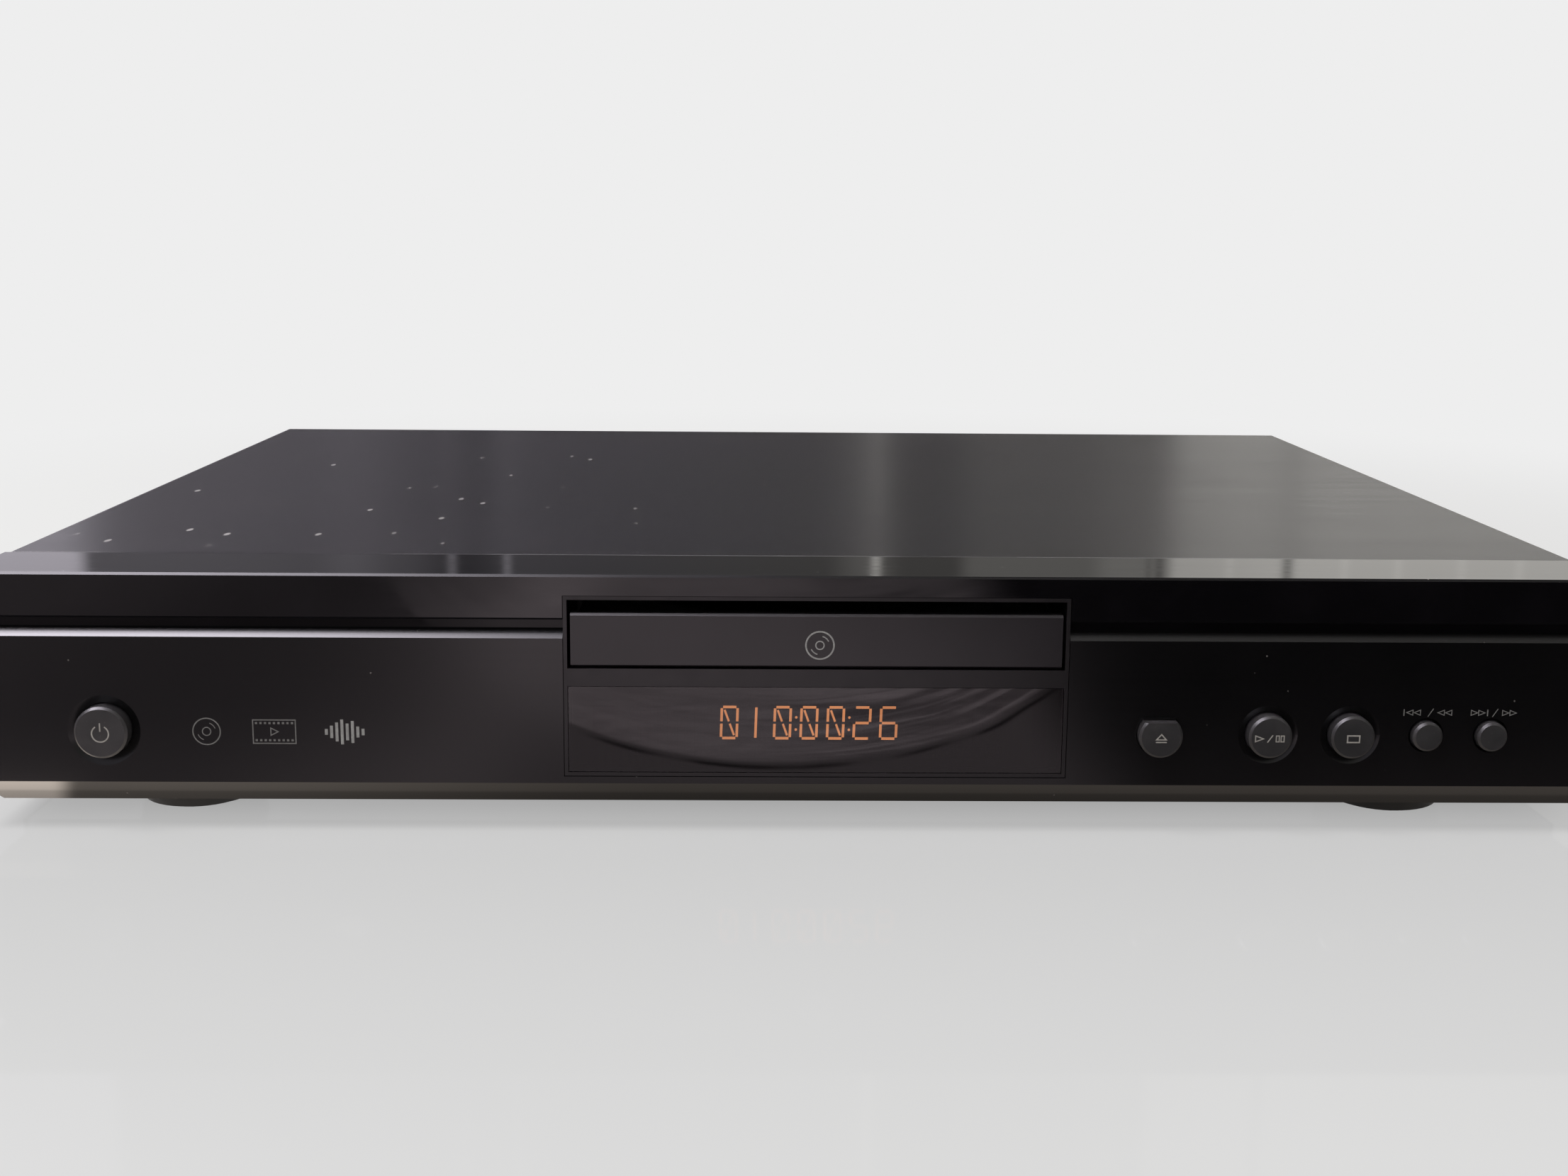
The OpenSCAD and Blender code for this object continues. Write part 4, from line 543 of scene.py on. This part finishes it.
# ---------------------------------------------------------------- printed marks and the lit digits
INK = 1e-5                  # how far a print stands off what carries it
INK_DEPTH = 4e-5            # how thick it is
LEAST_MITRE = 0.35          # sharper corners are cut off here

ink_grey = printed("ink_grey", lin(150, 148, 146))
ink_dim = printed("ink_dim", lin(112, 110, 108))
ink_cap = printed("ink_cap", lin(158, 153, 147))
ink_rear = printed("ink_rear", lin(176, 176, 174))


class Flat:
    """Polygons drawn on a plane, x to the right and z up, then made into one thin mesh."""

    def __init__(self):
        self.bm = bmesh.new()

    def poly(self, pts):
        self.bm.faces.new([self.bm.verts.new((x, 0.0, z)) for x, z in pts])

    def box(self, x0, z0, x1, z1):
        self.poly([(x0, z0), (x1, z0), (x1, z1), (x0, z1)])

    def stroke(self, pts, w, closed=False):
        """A line of width w through the points, mitred."""
        n = len(pts)
        left, right = [], []
        for i, here in enumerate(map(Vector, pts)):
            d1 = (here - Vector(pts[i - 1])).normalized() if closed or i else None
            d2 = (Vector(pts[(i + 1) % n]) - here).normalized() if closed or i < n - 1 else d1
            d1 = d2 if d1 is None else d1
            t = (d1 + d2).normalized()
            side = Vector((-t.y, t.x))
            k = w / 2 / max(LEAST_MITRE, side.dot(Vector((-d1.y, d1.x))))
            left.append(here + side * k)
            right.append(here - side * k)
        for i in range(n if closed else n - 1):
            j = (i + 1) % n
            self.poly([left[i], right[i], right[j], left[j]])

    def outline(self, x0, z0, x1, z1, w):
        self.stroke([(x0, z0), (x1, z0), (x1, z1), (x0, z1)], w, closed=True)

    def arc(self, r, w, a0=0, a1=360, n=48, cz=0.0):
        """An arc round (0, cz), or a whole ring."""
        ring = a1 - a0 >= 360
        turns = [math.radians(a0 + (a1 - a0) * i / n) for i in range(n if ring else n + 1)]
        self.stroke([(r * math.cos(a), cz + r * math.sin(a)) for a in turns], w, closed=ring)

    def disc(self, cx, cz, r, n=16):
        turns = [2 * math.pi * i / n for i in range(n)]
        self.poly([(cx + r * math.cos(a), cz + r * math.sin(a)) for a in turns])

    def piece(self, name, body, material, slot, x, y, z, depth=INK_DEPTH, behind=False, slant=0.0):
        """The finished piece: its outer face at y, its thickness within; behind faces the rear."""
        bm = self.bm
        bmesh.ops.remove_doubles(bm, verts=bm.verts, dist=1e-7)
        bmesh.ops.recalc_face_normals(bm, faces=bm.faces)
        for face in bm.faces:
            if face.normal.y > 0:
                face.normal_flip()
        out = bmesh.ops.extrude_face_region(bm, geom=list(bm.faces))
        inner = [v for v in out["geom"] if isinstance(v, bmesh.types.BMVert)]
        bmesh.ops.translate(bm, verts=inner, vec=(0, depth, 0))
        bmesh.ops.recalc_face_normals(bm, faces=bm.faces)
        for v in bm.verts:
            v.co.x += v.co.z * slant
            if behind:
                v.co.x, v.co.y = -v.co.x, -v.co.y
        me = bpy.data.meshes.new(name)
        bm.to_mesh(me)
        bm.free()
        me.transform(Matrix.Translation((x, y, z)))
        o = bpy.data.objects.new(name, me)
        bpy.context.scene.collection.objects.link(o)
        o.data.materials.append(material)
        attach(o, body)

    def on_cap(self, node, z):
        """The piece on a button's cap, at height z."""
        self.piece(node.replace("_button", "_mark"), node, ink_cap, "button_black",
                   centre(node).x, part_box(node)[0].y - INK, z)

    def on_panel(self, name, ink, x, z):
        """The piece on the lower panel, with its middle at x and z."""
        self.piece(name, "cabinet", ink, "panel_black", x, FACE - INK, z)


# -- button symbols
g = Flat()
g.arc(0.0022, 0.00036, 122, 418, cz=-0.0002)
g.box(-0.00018, 0.0004, 0.00018, 0.0027)
g.on_cap("standby_button", centre("standby_button").z)

# the eject cap is flat at its top, so the middle of its round comes from its foot and a whole cap
play_low, play_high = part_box("play_button")
g = Flat()
g.stroke([(-0.0013, -0.0003), (0.0013, -0.0003), (0, 0.00115)], 0.00032, closed=True)
g.box(-0.00145, -0.00115, 0.00145, -0.00085)
g.on_cap("eject_button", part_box("eject_button")[0].z + (play_high.z - play_low.z) / 2 - 0.0004)

g = Flat()
g.stroke([(-0.0041, -0.0008), (-0.0041, 0.0008), (-0.0020, 0)], 0.0003, closed=True)
g.stroke([(-0.0009, -0.0010), (0.0005, 0.0010)], 0.0003)
for cx in (0.0018, 0.0031):
    g.outline(cx - 0.0004, -0.0008, cx + 0.0004, 0.0008, 0.00028)
g.on_cap("play_button", centre("play_button").z - 0.0003)

g = Flat()
g.outline(-0.0016, -0.0009, 0.0016, 0.0009, 0.00036)
g.on_cap("stop_button", centre("stop_button").z - 0.0003)

# -- skip symbols over the two small buttons; way is 1 for arrows that point to the right
for node, way, bar in (("back_button", -1, -0.0075), ("forward_button", 1, -0.0024)):
    g = Flat()

    def arrow(x):
        tail = x - way * 0.00085
        g.stroke([(tail, -0.0007), (tail, 0.0007), (x + way * 0.00085, 0)], 0.00022, closed=True)

    arrow(-0.0058)
    arrow(-0.0038)
    g.box(bar, -0.0009, bar + 0.0003, 0.0009)
    g.stroke([(-0.0009, -0.0011), (0.0005, 0.0011)], 0.00023)
    arrow(0.0026)
    arrow(0.0046)
    g.on_panel(node.replace("_button", "_legend"), ink_dim, centre(node).x + 0.0011, TOP - 0.0362)


def disc_sign(rim, glint, widths, at):
    """A plain disc: its rim, its hole and two glints, one from the angle at, one opposite."""
    g = Flat()
    g.arc(rim, widths[0])
    g.arc(0.0011, widths[1])
    for a in (at, at + 180):
        g.arc(glint, widths[2], a, a + 50, 12)
    return g


# -- small pictograms between the standby button and the display: a disc, a film and sound
PICTOGRAMS = TOP - 0.0427
disc_sign(0.0036, 0.0024, (0.00032, 0.00028, 0.00022), 20).on_panel(
    "mark_disc", ink_dim, -0.1559, PICTOGRAMS)
g = Flat()
g.outline(-0.0056, -0.0032, 0.0056, 0.0032, 0.0003)
for column in range(-4, 5):
    for z in (-0.00235, 0.00235):
        x = column * 0.00118
        g.box(x - 0.0003, z - 0.00028, x + 0.0003, z + 0.00028)
g.stroke([(-0.0009, -0.0010), (-0.0009, 0.0010), (0.0010, 0)], 0.00028, closed=True)
g.on_panel("mark_film", ink_dim, -0.1381, PICTOGRAMS)
g = Flat()
for i, h in enumerate((0.0016, 0.0034, 0.0052, 0.0068, 0.0046, 0.0060, 0.0030, 0.0018)):
    x = -0.0052 + i * 0.00138
    g.box(x, -h / 2, x + 0.00078, h / 2)
g.on_panel("mark_sound", ink_grey, -0.1196, PICTOGRAMS)

# -- a plain disc on the door
disc_sign(0.0037, 0.0025, (0.00042, 0.00032, 0.0003), 25).piece(
    "mark_door", "tray", ink_grey, "door_black",
    0.0058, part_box("tray_door")[0].y - INK, TOP - 0.0187)

# -- frames printed round the groups of sockets at the back
g = Flat()
for node, pad in (("jack_housings", 0.0026), ("video_socket", 0.0026),
                  ("optical_socket", 0.0026), ("mains_inlet", 0.003)):
    a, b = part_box(node)
    g.outline(pad - a.x, a.z - pad, -b.x - pad, b.z + pad, 0.00035)
g.piece("rear_frames", "cabinet", ink_rear, "rear_paint",
        0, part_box("rear_panel")[1].y + INK, 0, behind=True)

# -- digits of the display tube: plain numbers, lit amber. h and l slant, m is the middle upright
SEGMENTS = {"0": "abcdefhl", "1": "m", "2": "abged", "6": "afgedc"}
PITCH, WIDE, HIGH, STROKE = 0.00712, 0.0049, 0.0093, 0.00068


def digit(g, ch, cx):
    """One figure about (cx, 0), its strokes parted by small gaps."""
    s, k = STROKE, STROKE / 2
    x0, x1 = cx - WIDE / 2 + k, cx + WIDE / 2 - k
    top, low = HIGH / 2 - k, k - HIGH / 2
    lines = {
        "a": ((x0 + k, top), (x1 - k, top)),
        "b": ((x1, top - k), (x1, k)),
        "c": ((x1, -k), (x1, low + k)),
        "d": ((x0 + k, low), (x1 - k, low)),
        "e": ((x0, -k), (x0, low + k)),
        "f": ((x0, top - k), (x0, k)),
        "g": ((x0 + k, 0), (x1 - k, 0)),
        "h": ((x0 + s * 1.1, top - s * 1.2), (cx - s * 0.2, k)),
        "l": ((cx + s * 0.2, -k), (x1 - s * 1.1, low + s * 1.2)),
        "m": ((cx, top - s * 0.16), (cx, low + s * 0.16)),
    }
    for c in SEGMENTS[ch]:
        g.stroke(lines[c], s * 0.8 if c in "hl" else s)


g = Flat()
for i, ch in enumerate("0100026"):
    digit(g, ch, (i - 3) * PITCH)
for cx in (-0.5, 1.5):
    for z in (0.0015, -0.0019):
        g.disc(cx * PITCH + 0.0001, z, 0.00034)
# on the tube, where the camera sees them behind the spot x, z of the front face
x, z = 0.0031, TOP - 0.0395
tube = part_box("display_tube")[0].y - 0.0003
grow = (tube - EYE_Y) / (FACE - EYE_Y)
amber = printed("digit_amber", (1.0, 0.42, 0.15), 0.4, glow=4.8)
g.piece("display_digits", "cabinet", amber, "tube_glass",
        EYE_X + (x - EYE_X) * grow, tube, EYE_Z + (z - EYE_Z) * grow, depth=1e-4, slant=0.03)


# ---------------------------------------------------------------- floor
def floor_seen(s):
    """The floor as the camera sees it: greyest before the cabinet, the backdrop's tone behind."""
    tone = s.mix(s.y.ramp(-0.17, -0.33), lin(218, 218, 218), lin(225, 225, 225))
    tone = s.mix(s.y.ramp(-0.16, 0.02), tone, BACKDROP)
    # painted light: the floor also glows by itself, two thirds of it just in front of the cabinet,
    # so the shadow there is faint, and a twentieth further back
    own = s.y.ramp(-0.15, -0.08, 0.66, 0.05)
    matt = s.node("MixShader", own, s.node("BsdfDiffuse", tone), s.node("Emission", tone, 1.0))
    gloss = s.node("BsdfGlossy", (0.8, 0.8, 0.8), 0.05)
    rad = (s.x * s.x + s.y * s.y).power(0.5)
    near = s.node("MixShader", rad.ramp(0.30, 0.44, 0.07, 0.0), matt, gloss)
    return s.node("MixShader", rad.ramp(0.30, 0.9), near, s.node("Emission", BACKDROP, 1.0))


def floor_mirrored(s):
    """What polished faces show of the floor: a strip close by, and a pale cloth further off."""
    x, y = s.x, s.y
    bend = ((x + 0.004).abs() / 0.082).power(2.0) * -0.0585 - 0.2135
    far = (y - bend) * -1.0
    wave = s.noise((26, 60, 1), 3, 0.6, warp=1.6)
    # from here on noise goes along the cloth's bent edge, which is dark where hem is high
    s.co = s.node("CombineXYZ", x, far)
    folds = s.noise((9, 90, 1), 2, 0.6, warp=0.5, offset=(0.3, 0.2, 0)).ramp(0.40, 0.60, -0.85, 0.6)
    folds = folds * x.ramp(-0.03, 0.04, 0.15, 1.0)
    hem = s.noise((22, 5, 1), 1, offset=(4, 0, 0)).ramp(0.38, 0.56)
    cloth = far.ramp(-0.002, 0.002) * (wave.ramp(0.3, 0.7, 0.8, 1.2) + folds)
    cloth = cloth - far.bump_at(-0.005, 0.0035) * hem * 0.75
    # how bright it is from side to side, with both ends paler near the front
    across = (x.ramp(-0.19, -0.10, 0.43, 1.0) + x.ramp(-0.22, -0.32, 0, 0.3)
              + x.bump_at(-0.1, 0.035) * 0.45)
    side = x.ramp(0.072, 0.108, 1.0, 0.015) * across
    side = side * (1.0 - y.ramp(-0.30, -0.34) * x.ramp(-0.01, 0.03, 0.0, 0.33))
    ends = x.ramp(0.07, 0.10, 0.0, 0.15) + x.ramp(-0.09, -0.14, 0.0, 0.3)
    side = side + y.ramp(-0.27, -0.215) * ends
    # the strip close to the front, with a white card at its left end
    strip = (y.ramp(-0.185, -0.165) * y.ramp(-0.1545, -0.149, 1.3, 0.75)
             * y.ramp(-0.05, 0.1, 1.0, 0.3))
    card = x.ramp(-0.196, -0.203) * x.ramp(-0.245, -0.23) * y.ramp(-0.142, -0.147) * 4.0
    level = (0.54 + cloth * 0.56) * side * y.ramp(-0.165, -0.185)
    level = level + strip * (card + x.ramp(-0.03, -0.165, 0.43, 0.88))
    tint = s.mix(y.ramp(-0.12, -0.155), lin(255, 253, 254), lin(255, 240, 226))
    tint = s.mix(y.ramp(-0.165, -0.185), tint, lin(255, 238, 244))
    return s.node("Emission", tint, level)


def stage_floor():
    """A pale floor. It keeps the shadow, and fades into the backdrop further off."""
    me = bpy.data.meshes.new("stage_floor")
    bm = bmesh.new()
    bmesh.ops.create_grid(bm, x_segments=8, y_segments=8, size=8.0)
    bm.to_mesh(me)
    bm.free()
    o = bpy.data.objects.new("stage_floor", me)
    bpy.context.scene.collection.objects.link(o)
    m = bpy.data.materials.new("stage_floor")
    m.use_nodes = True
    m.node_tree.nodes.clear()
    s = Tree(m.node_tree)
    plain = s.node("BsdfDiffuse", lin(225, 225, 225))
    s.by_ray("Material", floor_seen(s), floor_mirrored(s), plain)
    me.materials.append(m)


# ---------------------------------------------------------------- light
def room(s):
    """The room that glossy faces mirror, by direction. Angles are in degrees."""
    az = s.x.arctan2(s.y)                       # 0 towards the back, positive to the right
    el = s.z.arcsine()

    def turn(angle, a, b, lo=0.0, hi=1.0):
        return angle.ramp(math.radians(a), math.radians(b), lo, hi)

    def bar(at, half, k):
        return az.bump_at(math.radians(at), math.radians(half)) * k

    def blob(dx, dy, dz, inner, outer, k):
        """A soft round light towards (dx, dy, dz)."""
        n = math.sqrt(dx * dx + dy * dy + dz * dz)
        dot = s.x * (dx / n) + s.y * (dy / n) + s.z * (dz / n)
        return dot.ramp(math.cos(math.radians(outer)), math.cos(math.radians(inner))) * k

    # behind: a dim room to the left, and to the right a window wall with thin bars
    left = turn(az, -22.4, -21.6, 1.0, 0.0).max(turn(az, -21, -4.5, 0.22, 0.12))
    left = left * (1.0 + bar(-13.7, 1.6, 0.3) - bar(-10.0, 2.2, 0.5))
    thin = (bar(-10.45, 0.27, 0.24) + bar(-8.6, 0.24, 0.28)
            + bar(4.1, 0.3, 0.6) + bar(3.7, 1.5, 0.10))
    panes = turn(az, 6.7, 7.5, 0.0, 0.13) + turn(az, 11.2, 12.2, 0.0, 0.10)
    window = (panes * turn(el, 6.5, 12, 0.3, 1.0)
              + turn(az, 13.8, 14.3, 0.0, 0.50) + turn(az, 14.3, 18.5, 0.0, 0.16))
    frames = (bar(13.35, 0.15, 0.5) + bar(13.7, 0.2, 0.7) + bar(17.85, 0.30, 0.72)).clamp()
    for a in (16.0, 19.65, 21.3, 23.2, 24.9):
        window = window + bar(a, 0.22, 0.11)
    window = window * (1.0 - frames) * turn(az, 60, 105, 1.0, 0.3)
    back = (left + thin + window) * turn(el, 12.5, 20, 1.0, 0.45) * turn(el, 2, 10, 0.7, 1.0)
    front = s.x.ramp(-0.2, 0.45, 0.55, 0.2)
    behind = s.y.ramp(-0.25, 0.25)
    walls = front * (1.0 - behind) + back * behind
    # above: a broad soft ceiling light to the left
    ceiling = 0.55 + blob(-0.48, -0.12, 0.87, 8, 24.5, 24.0) + blob(-0.12, -0.15, 1.0, 2, 22, 0.7)
    up = turn(el, 22, 48)
    tint = s.mix(turn(az, -10, 6), lin(250, 244, 255), lin(255, 252, 246))
    return s.node("Background", tint, walls * (1.0 - up) + ceiling * up)


def studio():
    """A plain world: the backdrop for the camera, an even soft light, and a soft room for gloss."""
    w = bpy.data.worlds.new("studio")
    bpy.context.scene.world = w
    w.use_nodes = True
    w.cycles.sampling_method = "NONE"
    w.node_tree.nodes.clear()
    s = Tree(w.node_tree, "Generated")
    even = s.node("Background", lin(255, 254, 252), 0.50)
    s.by_ray("World", s.node("Background", BACKDROP, 1.0), room(s), even)


def key_light():
    """A soft lamp over the player's left front, which no face mirrors."""
    d = bpy.data.lights.new("key", "AREA")
    d.shape = "DISK"
    d.size = 1.5
    d.energy = 60.0
    o = bpy.data.objects.new("key", d)
    bpy.context.scene.collection.objects.link(o)
    o.location = (-1.3, -0.75, 3.0)
    o.rotation_mode = "QUATERNION"
    o.rotation_quaternion = (Vector((0, 0, 0.03)) - o.location).to_track_quat("-Z", "Y")
    o.visible_glossy = False
    o.visible_camera = False


def camera():
    """A camera before the player and a little above it, turned slightly to the right and down."""
    d = bpy.data.cameras.new("camera")
    d.sensor_fit = "HORIZONTAL"
    d.sensor_width = 36.0
    d.lens = 2149.7 / 2000 * d.sensor_width
    d.shift_y = -0.0552
    d.clip_start, d.clip_end = 0.01, 50
    o = bpy.data.objects.new("camera", d)
    bpy.context.scene.collection.objects.link(o)
    yaw, pitch, roll = 0.0156, 0.1644, 0.0086
    ahead = Vector((math.sin(yaw) * math.cos(pitch), math.cos(yaw) * math.cos(pitch),
                    -math.sin(pitch)))
    level = Vector((math.cos(yaw), -math.sin(yaw), 0))
    upright = level.cross(ahead)
    right = level * math.cos(roll) + upright * math.sin(roll)
    up = upright * math.cos(roll) - level * math.sin(roll)
    m = Matrix((right, up, -ahead)).transposed().to_4x4()
    m.translation = Vector((EYE_X, EYE_Y, EYE_Z))
    o.matrix_world = m
    bpy.context.scene.camera = o


stage_floor()
studio()
key_light()
camera()
bpy.context.scene.view_settings.view_transform = "Standard"
